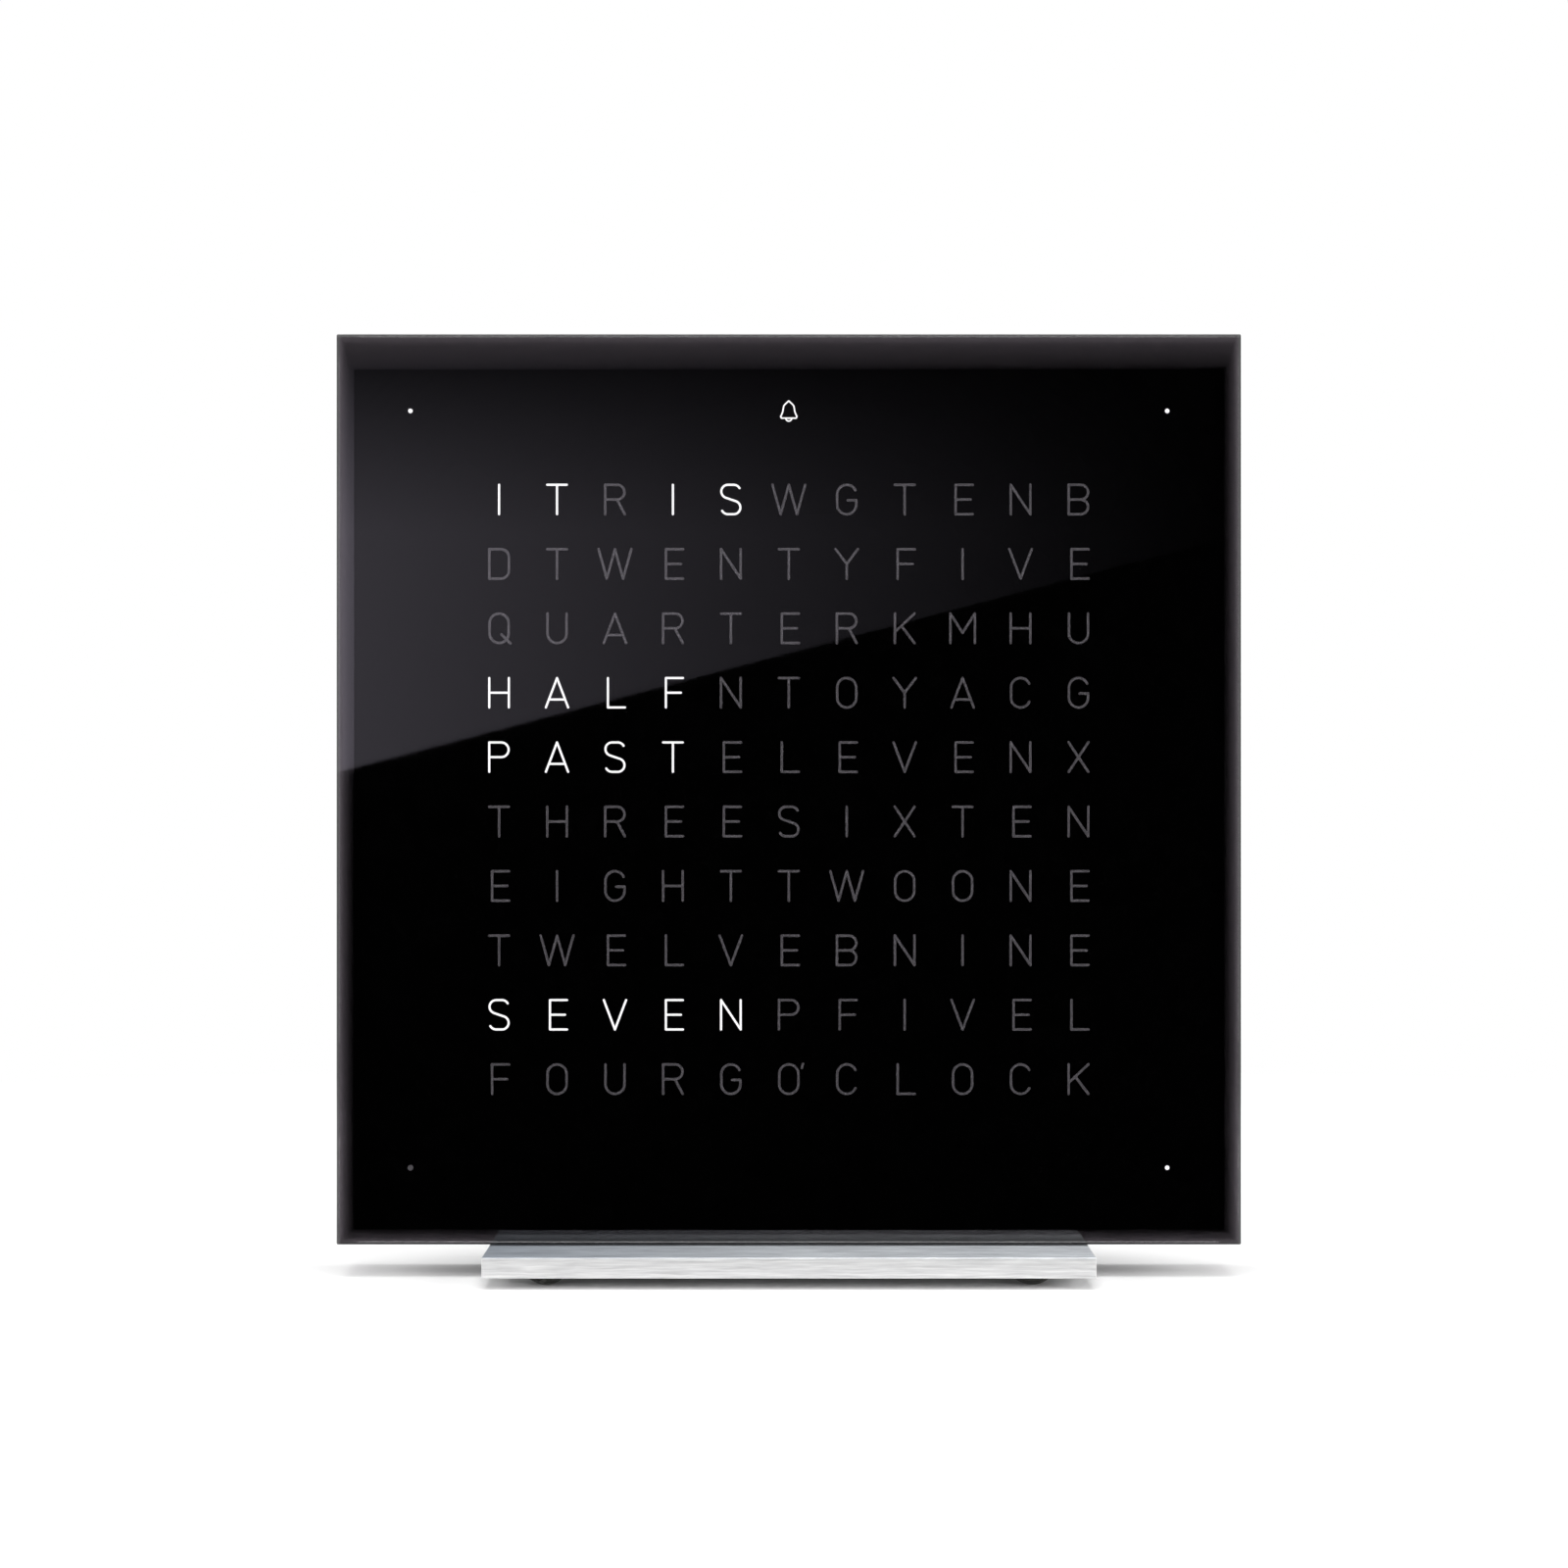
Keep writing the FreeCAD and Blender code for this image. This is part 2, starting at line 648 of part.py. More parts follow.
def backup_cell():
    front = BOARD_BACK + CLIP_SHEET
    step, rim_width = 0.3, 0.8
    can = rod_y(CELL_PLACE, CELL_RADIUS, (front + step, front + CELL_THICKNESS))
    return can.fuse(rod_y(CELL_PLACE, CELL_RADIUS - rim_width, (front, front + step)))


def cell_clip():
    """A bent strap over the cell with a foot at each end, and the contact plate under the cell."""
    x, z = CELL_PLACE
    width, foot_length = 4.0, 2.0
    cell_back = BOARD_BACK + CLIP_SHEET + CELL_THICKNESS
    reach = CELL_RADIUS + 0.4
    strap = centred_box(CELL_PLACE, (2 * (reach + CLIP_SHEET), width), (cell_back, cell_back + CLIP_SHEET))
    parts = []
    for way in (-1, 1):
        leg_x = x + way * (reach + CLIP_SHEET / 2)
        parts.append(centred_box((leg_x, z), (CLIP_SHEET, width), (BOARD_BACK, cell_back)))
        foot_place = (x + way * (reach + foot_length / 2), z)
        parts.append(centred_box(foot_place, (foot_length, width), (BOARD_BACK, BOARD_BACK + CLIP_SHEET)))
    return [
        strap.multiFuse(parts).removeSplitter(),
        rod_y(CELL_PLACE, CELL_RADIUS - 1.5, (BOARD_BACK, BOARD_BACK + CLIP_SHEET)),
    ]


def voltage_regulator():
    x, sides, height, side_pins = 20.0, (3.5, 6.5), 1.6, 3
    return chip((x, SOCKET_Z), sides, height, side_pins)


def smoothing_capacitors():
    base_side, base_height, can_radius, can_height = 5.3, 0.8, 2.5, 5.2
    base_back = BOARD_BACK + base_height
    cans = []
    for x in (-24.0, -16.0):
        base = centred_box((x, SOCKET_Z), (base_side, base_side), (BOARD_BACK, base_back))
        can = rod_y((x, SOCKET_Z), can_radius, (base_back, BOARD_BACK + can_height))
        cans.append(base.fuse(can))
    return cans


def alarm_sounder():
    place = (0.0, SOUNDER_Z)
    port_radius, port_depth, rounding = 1.0, 1.0, 0.4
    can_back = BOARD_BACK + SOUNDER_HEIGHT
    can = rod_y(place, SOUNDER_RADIUS, (BOARD_BACK, can_back))
    can = can.makeFillet(rounding, [can.Edges[0]])
    return can.cut(rod_y(place, port_radius, (can_back - port_depth, can_back + 1)))


def touch_electrode():
    """Foil under the chassis's top wall, which feels a finger on the top edge."""
    margin = 0.4
    return box(
        (-FOIL_LENGTH / 2, FOIL_LENGTH / 2),
        (LEDGE_BACK + margin, COVER_FRONT - margin),
        (INNER_TOP - FOIL_THICKNESS, INNER_TOP),
    )


def touch_contact():
    """A leaf from the board to the foil: a solder foot, a slope and a short landing on the foil."""
    sheet, width = 0.25, 3.0
    foot_low, foot_high = 123.0, 127.0
    landing_front, landing_back = 4.4, 6.0
    foil = INNER_TOP - FOIL_THICKNESS
    outline = [
        (BOARD_BACK, foot_low),
        (BOARD_BACK, foot_high),
        (landing_front, foil),
        (landing_back, foil),
        (landing_back, foil - sheet),
        (landing_front + 0.6 * sheet, foil - sheet),
        (BOARD_BACK + sheet, foot_high - 0.4 * sheet),
        (BOARD_BACK + sheet, foot_low),
    ]
    points = [FreeCAD.Vector(-width / 2, y, z) for y, z in outline]
    profile = Part.Face(Part.makePolygon([*points, points[0]]))
    return profile.extrude(FreeCAD.Vector(width, 0, 0))


def socket_opening_sides():
    return SOCKET_WIDTH - 2 * SOCKET_SHEET, SOCKET_HEIGHT - 2 * SOCKET_SHEET


def power_socket_shell():
    span = (BOARD_BACK, BACK_Y - SOCKET_SINK)
    outer = rounded_block(SOCKET_PLACE, (SOCKET_WIDTH, SOCKET_HEIGHT), SOCKET_CORNER, span)
    inner_span = (span[0] - 1, span[1] + 1)
    inner_corner = SOCKET_CORNER - SOCKET_SHEET
    return outer.cut(rounded_block(SOCKET_PLACE, socket_opening_sides(), inner_corner, inner_span))


def power_socket_insert():
    base_length, tongue_sides, tongue_sink = 2.4, (5.2, 0.7), 1.2
    base_back = BOARD_BACK + base_length
    inner_corner = SOCKET_CORNER - SOCKET_SHEET
    base = rounded_block(SOCKET_PLACE, socket_opening_sides(), inner_corner, (BOARD_BACK, base_back))
    tongue = centred_box(SOCKET_PLACE, tongue_sides, (base_back, BACK_Y - tongue_sink))
    return base.fuse(tongue).removeSplitter()


# Buttons, their switches and the back cover


def button_place(number):
    return (number - (len(BUTTON_NAMES) - 1) / 2) * BUTTON_PITCH, BUTTON_ROW_HEIGHT


def switch_bodies():
    switches = []
    for number in range(len(BUTTON_NAMES)):
        place = button_place(number)
        body = centred_box(place, (SWITCH_SIDE, SWITCH_SIDE), (BOARD_BACK, SWITCH_TOP))
        bore_span = (BOARD_BACK + SWITCH_FLOOR, SWITCH_TOP + 1)
        bore = rod_y(place, PLUNGER_RADIUS + PLUNGER_CLEARANCE, bore_span)
        switches.append(body.cut(bore))
    return switches


def plunger(number):
    front = BOARD_BACK + SWITCH_FLOOR + PLUNGER_STOP + BUTTON_TRAVEL
    return rod_y(button_place(number), PLUNGER_RADIUS, (front, PLUNGER_TOP))


def button_cap(number):
    """A round cap with a flange that the back cover's collar keeps in."""
    place = button_place(number)
    flange = rod_y(place, BUTTON_FLANGE, (PLUNGER_TOP, FLANGE_BACK))
    bevel = 0.3
    stem = rod_y(place, BUTTON_RADIUS, (FLANGE_BACK, BACK_Y - bevel))
    top = cone_y(place, (BUTTON_RADIUS, BUTTON_RADIUS - bevel), (BACK_Y - bevel, BACK_Y))
    return flange.multiFuse([stem, top]).removeSplitter()


def sound_hole_places():
    """A middle hole with a ring of 6 and a ring of 12 round it."""
    places = [(0.0, SOUNDER_Z)]
    for ring in (1, 2):
        for number in range(6 * ring):
            angle = math.radians(60 / ring * number)
            radius = ring * SOUND_HOLE_PITCH
            places.append((radius * math.cos(angle), SOUNDER_Z + radius * math.sin(angle)))
    return places


def back_cover():
    through = (COVER_FRONT - 3, BACK_Y + 1)
    plate = box(
        (SLIP - CORE_X, CORE_X - SLIP), (COVER_FRONT, BACK_Y), (CORE_BOTTOM + SLIP, CORE_TOP - SLIP)
    )
    collar_gap, collar_width = 0.4, 0.6
    places = [button_place(number) for number in range(len(BUTTON_NAMES))]
    collars = [
        rod_y(place, BUTTON_FLANGE + collar_width, (FLANGE_BACK + collar_gap, COVER_FRONT))
        for place in places
    ]
    plate = plate.multiFuse(collars)
    cuts = [rod_y(place, BUTTON_RADIUS + BUTTON_CLEARANCE, through) for place in places]
    field_sides, field_corner = (len(places) * BUTTON_PITCH, 11.0), 5.4
    field_span = (FIELD_FLOOR, BACK_Y + 1)
    cuts.append(rounded_block((0.0, BUTTON_ROW_HEIGHT), field_sides, field_corner, field_span))
    hole_sides = (SOCKET_WIDTH + 2 * SOCKET_CLEARANCE, SOCKET_HEIGHT + 2 * SOCKET_CLEARANCE)
    cuts.append(rounded_block(SOCKET_PLACE, hole_sides, SOCKET_CORNER + SOCKET_CLEARANCE, through))
    recess_sides, recess_corner, recess_depth = (14.0, 9.0), 2.0, 0.8
    recess_span = (BACK_Y - recess_depth, BACK_Y + 1)
    cuts.append(rounded_block(SOCKET_PLACE, recess_sides, recess_corner, recess_span))
    cuts += [rod_y(place, SOUND_HOLE_RADIUS, through) for place in sound_hole_places()]
    for x in (-VENT_X, VENT_X):
        for number in range(VENT_COUNT):
            vent_place = (x, VENT_LOWEST_Z + number * VENT_PITCH)
            cuts.append(rounded_block(vent_place, (VENT_LENGTH, VENT_WIDTH), 0.46 * VENT_WIDTH, through))
    sink_radius, sink_depth = 2.6, 1.35
    for place in COVER_SCREW_PLACES:
        cuts.append(rod_y(place, M25_RADIUS + THROUGH_CLEARANCE, through))
        cuts.append(cone_y(place, (M25_RADIUS, sink_radius), (BACK_Y - sink_depth, BACK_Y)))
    return plate.cut(cuts)


def back_cover_screws():
    head_radius, head_height, head_sink, tip_gap = 2.4, 1.15, 0.15, 0.6
    head_end = BACK_Y - head_sink
    screws = []
    for place in COVER_SCREW_PLACES:
        head = cone_y(place, (M25_RADIUS, head_radius), (head_end - head_height, head_end))
        thread = rod_y(place, M25_RADIUS, (LEDGE_BACK + tip_gap, head_end - head_height))
        screws.append(head.fuse(thread).cut(cross_recess(place, head_end)))
    return screws


# Foot


def foot_plate():
    plate = box(
        (-FOOT_WIDTH / 2, FOOT_WIDTH / 2),
        (-FOOT_DEPTH / 2, FOOT_DEPTH / 2),
        (BUMPER_HEIGHT, FOOT_TOP),
    )
    plate = plate.makeChamfer(FOOT_ARRIS, plate.Edges)
    sink_radius, sink_depth = 3.3, 1.8
    cuts = []
    for x in (-FOOT_SCREW_X, FOOT_SCREW_X):
        cuts.append(rod_z(x, FOOT_SCREW_Y, M3_RADIUS + THROUGH_CLEARANCE, (0, FOOT_TOP + 1)))
        start = FreeCAD.Vector(x, FOOT_SCREW_Y, BUMPER_HEIGHT)
        cuts.append(Part.makeCone(sink_radius, M3_RADIUS, sink_depth, start))
    return plate.cut(cuts)


def foot_screws():
    head_radius, head_height, length, head_sink = 3.0, 1.5, 10.0, 0.15
    slot_length, slot_width, slot_depth = 2.6, 0.6, 0.85
    bottom = BUMPER_HEIGHT + head_sink
    screws = []
    for x in (-FOOT_SCREW_X, FOOT_SCREW_X):
        start = FreeCAD.Vector(x, FOOT_SCREW_Y, bottom)
        head = Part.makeCone(head_radius, M3_RADIUS, head_height, start)
        thread = rod_z(x, FOOT_SCREW_Y, M3_RADIUS, (bottom + head_height, bottom + length))
        slots = []
        for along_x, along_y in ((slot_length, slot_width), (slot_width, slot_length)):
            x_span = (x - along_x / 2, x + along_x / 2)
            y_span = (FOOT_SCREW_Y - along_y / 2, FOOT_SCREW_Y + along_y / 2)
            slots.append(box(x_span, y_span, (0, bottom + slot_depth)))
        screws.append(head.fuse(thread).cut(slots))
    return screws


def bumper_feet():
    """Domes bonded under the foot, each with a small flat that stands on the table."""
    full_height = BUMPER_HEIGHT + BUMPER_FLAT_DEPTH
    dome_radius = (BUMPER_RADIUS**2 + full_height**2) / (2 * full_height)
    room = BUMPER_RADIUS + 1
    feet = []
    for x in (-BUMPER_X, BUMPER_X):
        for y in (-BUMPER_Y, BUMPER_Y):
            centre = FreeCAD.Vector(x, y, dome_radius - BUMPER_FLAT_DEPTH)
            slab = box((x - room, x + room), (y - room, y + room), (0, BUMPER_HEIGHT))
            feet.append(Part.makeSphere(dome_radius, centre).common(slab))
    return feet


pieces = {
    "front_pane": front_pane(),
    "letter_mask": letter_mask(),
    "steel_discs": steel_discs(),
    "housing_frame": housing_frame(),
    "chassis": chassis(),
    "threaded_inserts": threaded_inserts(),
    "diffuser_sheet": diffuser_sheet(),
    "light_baffle": light_baffle(),
    "cover_magnets": cover_magnets(),
    "main_board": main_board(),
    "board_screws": board_screws(),
    "letter_leds": letter_leds(),
    "minute_leds": [small_led(place) for place in DOT_PLACES],
    "bell_led": small_led(BELL_PLACE),
    "light_sensor": light_sensor(),
    "led_drivers": led_drivers(),
    "row_transistors": row_transistors(),
    "microcontroller": microcontroller(),
    "clock_crystal": clock_crystal(),
    "backup_cell": backup_cell(),
    "cell_clip": cell_clip(),
    "voltage_regulator": voltage_regulator(),
    "smoothing_capacitors": smoothing_capacitors(),
    "alarm_sounder": alarm_sounder(),
    "touch_electrode": touch_electrode(),
    "touch_contact": touch_contact(),
    "power_socket_shell": power_socket_shell(),
    "power_socket_insert": power_socket_insert(),
    "switch_bodies": switch_bodies(),
    "back_cover": back_cover(),
    "back_cover_screws": back_cover_screws(),
    "foot_plate": foot_plate(),
    "foot_screws": foot_screws(),
    "bumper_feet": bumper_feet(),
}
for number, name in enumerate(BUTTON_NAMES):
    pieces[f"{name}_button"] = button_cap(number)
    pieces[f"{name}_plunger"] = plunger(number)

os.makedirs("parts", exist_ok=True)
for name, shape in pieces.items():
    if isinstance(shape, list):
        shape = Part.makeCompound(shape)
    shape.exportStep(f"parts/{name}.step")
    print(name, len(shape.Solids), shape.isValid(), round(shape.Volume, 2))
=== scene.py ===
import json
import math

import bmesh
import bpy
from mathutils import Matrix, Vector
from mathutils.geometry import delaunay_2d_cdt


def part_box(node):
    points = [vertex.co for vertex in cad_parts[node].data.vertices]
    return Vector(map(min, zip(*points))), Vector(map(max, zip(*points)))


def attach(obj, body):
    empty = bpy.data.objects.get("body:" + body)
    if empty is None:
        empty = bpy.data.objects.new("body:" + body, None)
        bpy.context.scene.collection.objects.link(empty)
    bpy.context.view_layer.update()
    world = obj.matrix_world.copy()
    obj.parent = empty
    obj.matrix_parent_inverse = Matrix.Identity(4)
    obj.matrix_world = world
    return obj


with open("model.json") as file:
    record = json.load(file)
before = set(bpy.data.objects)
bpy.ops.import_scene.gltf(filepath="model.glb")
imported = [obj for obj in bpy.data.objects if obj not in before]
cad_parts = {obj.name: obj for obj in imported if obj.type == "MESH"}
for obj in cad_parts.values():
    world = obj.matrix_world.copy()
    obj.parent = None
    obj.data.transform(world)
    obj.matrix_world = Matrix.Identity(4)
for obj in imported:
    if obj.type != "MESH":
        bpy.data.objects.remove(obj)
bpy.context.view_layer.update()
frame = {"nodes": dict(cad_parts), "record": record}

# Looks of the word clock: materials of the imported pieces, the letters that show through the mask, the
# studio and the camera. Metres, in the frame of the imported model.

MM = 0.001
nodes = frame["nodes"]


# Letters, drawn like the cut ones in the mask. Each is a list of strokes: lines and arcs of a round pen.

COLUMN_PITCH = 8.69 * MM
ROW_PITCH = 9.66 * MM
CAP_HEIGHT = 4.83 * MM
WINDOW_STROKE = 0.42 * MM
DARK_STROKE = 0.34 * MM
LIT_STROKE = 0.3 * MM
BELL_STROKE = 0.3 * MM
LIT_BELL_STROKE = 0.2 * MM
DOT_RADIUS = 0.43 * MM
LIT_DOT_RADIUS = 0.32 * MM
CORNER_OFFSET = 56.75 * MM
LETTER_ROWS = (
    "ITRISWGTENB",
    "DTWENTYFIVE",
    "QUARTERKMHU",
    "HALFNTOYACG",
    "PASTELEVENX",
    "THREESIXTEN",
    "EIGHTTWOONE",
    "TWELVEBNINE",
    "SEVENPFIVEL",
    "FOURGOCLOCK",
)
APOSTROPHE_PLACE = (10, 6)

# The bell's shape, in millimetres like the strokes
BELL_BASE = -1.08
BELL_HALF_WIDTH = 1.1
CLAPPER_RADIUS = 0.55

# The words that are lit: row, first column and last column, counted from 1
LIT_WORDS = {
    "it": (1, 1, 2),
    "is": (1, 4, 5),
    "half": (4, 1, 4),
    "past": (5, 1, 4),
    "seven": (9, 1, 5),
}
ARC_STEP_DEGREES = 9


def chain(*points):
    """Lines from point to point."""
    return [("line", start, end) for start, end in zip(points, points[1:])]


def arc(centre, radius, start_degrees, end_degrees):
    return [("arc", centre, radius, start_degrees, end_degrees)]


def letter_strokes():
    """The centre lines of each letter, about the letter's middle, in millimetres."""
    top = (CAP_HEIGHT - WINDOW_STROKE) / 2 / MM
    half = top / 2

    # Half widths
    round_width, plain, wide, m_width, w_width = 1.43, 1.47, 1.67, 1.84, 2.45

    # E, F and L have their stem nearer the middle
    stem, arm = -1.05, 1.5

    corner = 1.2
    shoulder = top - round_width
    left_stem = chain((-plain, -top), (-plain, top))
    narrow_stem = chain((stem, -top), (stem, top))
    upper_round = arc((0, shoulder), round_width, 0, 180)
    lower_round = arc((0, -shoulder), round_width, 180, 360)
    left_side = chain((-round_width, shoulder), (-round_width, -shoulder))
    right_side = chain((round_width, shoulder), (round_width, -shoulder))
    oval = upper_round + left_side + lower_round + right_side
    bowl_x = round_width - half

    # The bends of S, and how far its middle stroke leans in degrees
    turn, lean = 1.0, 19
    turn_x, turn_z = round_width - turn, top - turn
    spine_x = turn_x + turn * math.sin(math.radians(lean))
    spine_z = turn_z - turn * math.cos(math.radians(lean))

    upper_bowl = (
        chain((-plain, top), (bowl_x, top))
        + arc((bowl_x, half), half, -90, 90)
        + chain((bowl_x, 0), (-plain, 0))
    )
    return {
        "A": chain((-wide, -top), (0, top), (wide, -top))
        + chain((-0.73 * wide, -0.46 * top), (0.73 * wide, -0.46 * top)),
        "B": left_stem
        + upper_bowl
        + arc((bowl_x, -half), half, -90, 90)
        + chain((bowl_x, -top), (-plain, -top)),
        "C": arc((0, shoulder), round_width, 25, 180)
        + left_side
        + arc((0, -shoulder), round_width, 180, 335),
        "D": left_stem
        + chain((-plain, top), (plain - corner, top))
        + arc((plain - corner, top - corner), corner, 0, 90)
        + chain((plain, top - corner), (plain, corner - top))
        + arc((plain - corner, corner - top), corner, 270, 360)
        + chain((plain - corner, -top), (-plain, -top)),
        "E": narrow_stem
        + chain((stem, top), (arm, top))
        + chain((stem, 0), (0.8 * arm, 0))
        + chain((stem, -top), (arm, -top)),
        "F": narrow_stem
        + chain((stem, top), (arm, top))
        + chain((stem, 0), (0.8 * arm, 0)),
        "G": arc((0, shoulder), round_width, 25, 180)
        + left_side
        + lower_round
        + chain((round_width, -shoulder), (round_width, -0.05 * top), (0.2, -0.05 * top)),
        "H": left_stem + chain((plain, -top), (plain, top)) + chain((-plain, 0), (plain, 0)),
        "I": chain((0, -top), (0, top)),
        "K": left_stem
        + chain((plain, top), (-plain, -0.25 * top))
        + chain((-0.4, 0.12 * top), (plain, -top)),
        "L": narrow_stem + chain((stem, -top), (arm, -top)),
        "M": chain((-m_width, -top), (-m_width, top), (0, -0.3 * top))
        + chain((0, -0.3 * top), (m_width, top), (m_width, -top)),
        "N": chain((-plain, -top), (-plain, top), (plain, -top), (plain, top)),
        "O": oval,
        "P": left_stem + upper_bowl,
        "Q": oval + chain((0.35, -0.42 * top), (1.2 * round_width, -1.03 * top)),
        "R": left_stem + upper_bowl + chain((0.3, 0), (plain, -top)),
        "S": arc((turn_x, turn_z), turn, 30, 90)
        + chain((turn_x, top), (-turn_x, top))
        + arc((-turn_x, turn_z), turn, 90, 270 - lean)
        + chain((-spine_x, spine_z), (spine_x, -spine_z))
        + arc((turn_x, -turn_z), turn, -90, 90 - lean)
        + chain((turn_x, -top), (-turn_x, -top))
        + arc((-turn_x, -turn_z), turn, 210, 270),
        "T": chain((-plain, top), (plain, top)) + chain((0, top), (0, -top)),
        "U": chain((-round_width, top), (-round_width, -shoulder))
        + lower_round
        + chain((round_width, -shoulder), (round_width, top)),
        "V": chain((-wide, top), (0, -top), (wide, top)),
        "W": chain((-w_width, top), (-w_width / 2, -top), (0, top))
        + chain((0, top), (w_width / 2, -top), (w_width, top)),
        "X": chain((-plain, top), (plain, -top)) + chain((-plain, -top), (plain, top)),
        "Y": chain((-wide, top), (0, 0), (wide, top)) + chain((0, 0), (0, -top)),
        "'": chain((2.1, top + 0.1), (1.95, top - 0.55)),
    }


def bell_strokes():
    """The outline of a hand bell, in millimetres."""
    shoulder = [(0, 1.5), (0.44, 1.1), (0.74, 0.78)]
    flank = [(0.82, 0.4), (0.9, -0.1), (1.06, -0.52), (1.22, -0.84), (BELL_HALF_WIDTH, BELL_BASE)]
    strokes = chain((-BELL_HALF_WIDTH, BELL_BASE), (BELL_HALF_WIDTH, BELL_BASE))
    for way in (-1, 1):
        strokes += chain(*[(way * x, z) for x, z in shoulder + flank])
    return strokes


def sweep(centre, radius, start, end):
    """Points along an arc, given in degrees."""
    steps = max(2, math.ceil(abs(end - start) / ARC_STEP_DEGREES))
    points = []
    for step in range(steps + 1):
        angle = math.radians(start + (end - start) * step / steps)
        x = centre[0] + radius * math.cos(angle)
        z = centre[1] + radius * math.sin(angle)
        points.append(Vector((x, z)))
    return points


def stroke_outline(stroke, half_stroke):
    """The closed outline of one stroke with round ends, anticlockwise."""
    kind, *sizes = stroke
    if kind == "line":
        start, end = (Vector(point) * MM for point in sizes)
        heading = math.degrees(math.atan2(*(end - start).yx))
        return sweep(end, half_stroke, heading - 90, heading + 90) + sweep(
            start, half_stroke, heading + 90, heading + 270
        )
    centre, radius, first, last = sizes
    centre, radius = Vector(centre) * MM, radius * MM
    outer = sweep(centre, radius + half_stroke, first, last)
    inner = sweep(centre, radius - half_stroke, last, first)
    last_end = sweep(centre, radius, last, last + 1)[0]
    first_end = sweep(centre, radius, first, first + 1)[0]
    last_cap = sweep(last_end, half_stroke, last, last + 180)[1:-1]
    first_cap = sweep(first_end, half_stroke, first + 180, first + 360)[1:-1]
    return outer + last_cap + inner + first_cap


def outlines_at(strokes, stroke_width, place):
    """The outlines of strokes, moved from the middle to a place in XZ."""
    outlines = []
    for stroke in strokes:
        outline = stroke_outline(stroke, stroke_width / 2)
        outlines.append([point + Vector(place) for point in outline])
    return outlines


def add_flat_solid(mesh, outlines, depth):
    """Adds the union of flat outlines in XZ to a bmesh as one closed solid between two depths."""
    keep_inside, nearness = 1, 1e-8
    points, faces = [], []
    for outline in outlines:
        faces.append(list(range(len(points), len(points) + len(outline))))
        points += outline
    flat, _, triangles, _, _, sources = delaunay_2d_cdt(points, [], faces, keep_inside, nearness)
    triangles = [triangle for triangle, source in zip(triangles, sources) if source]
    front = [mesh.verts.new((point.x, depth[0], point.y)) for point in flat]
    back = [mesh.verts.new((point.x, depth[1], point.y)) for point in flat]
    edge_uses = {}
    for triangle in triangles:
        mesh.faces.new([front[index] for index in triangle])
        mesh.faces.new([back[index] for index in reversed(triangle)])
        for start, end in zip(triangle, [*triangle[1:], triangle[0]]):
            edge_uses.setdefault(frozenset((start, end)), []).append((start, end))
    for uses in edge_uses.values():
        if len(uses) == 1:
            start, end = uses[0]
            mesh.faces.new([front[end], front[start], back[start], back[end]])


def piece_from(mesh, name):
    """A piece from a bmesh, with its loose points removed and its faces turned outwards."""
    loose = [vertex for vertex in mesh.verts if not vertex.link_faces]
    bmesh.ops.delete(mesh, geom=loose, context="VERTS")
    bmesh.ops.recalc_face_normals(mesh, faces=mesh.faces)
    data = bpy.data.meshes.new(name)
    mesh.to_mesh(data)
    mesh.free()
    piece = bpy.data.objects.new(name, data)
    bpy.context.scene.collection.objects.link(piece)
    return piece


# Where things are

mask_low, mask_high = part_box("letter_mask")
pane_low, pane_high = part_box("front_pane")
MIDDLE_Z = (pane_low.z + pane_high.z) / 2
MASK_FRONT = mask_low.y
MASK_BACK = mask_high.y
BELL_PLACE = (0.0, MIDDLE_Z + CORNER_OFFSET)
LIT_DOTS = [(x * CORNER_OFFSET, MIDDLE_Z + z * CORNER_OFFSET) for x, z in ((-1, 1), (1, 1), (1, -1))]
DARK_DOT = (-CORNER_OFFSET, MIDDLE_Z - CORNER_OFFSET)
INLAY_DEPTH = (MASK_FRONT + 0.02 * MM, MASK_BACK - 0.03 * MM)
GLOW_DEPTH = (MASK_FRONT - 0.03 * MM, MASK_FRONT + 0.01 * MM)


def letter_place(row, column):
    """The middle of a letter in XZ. Rows and columns count from 1."""
    across = (column - (len(LETTER_ROWS[0]) + 1) / 2) * COLUMN_PITCH
    up = ((len(LETTER_ROWS) + 1) / 2 - row) * ROW_PITCH
    return across, MIDDLE_Z + up


# Material graphs


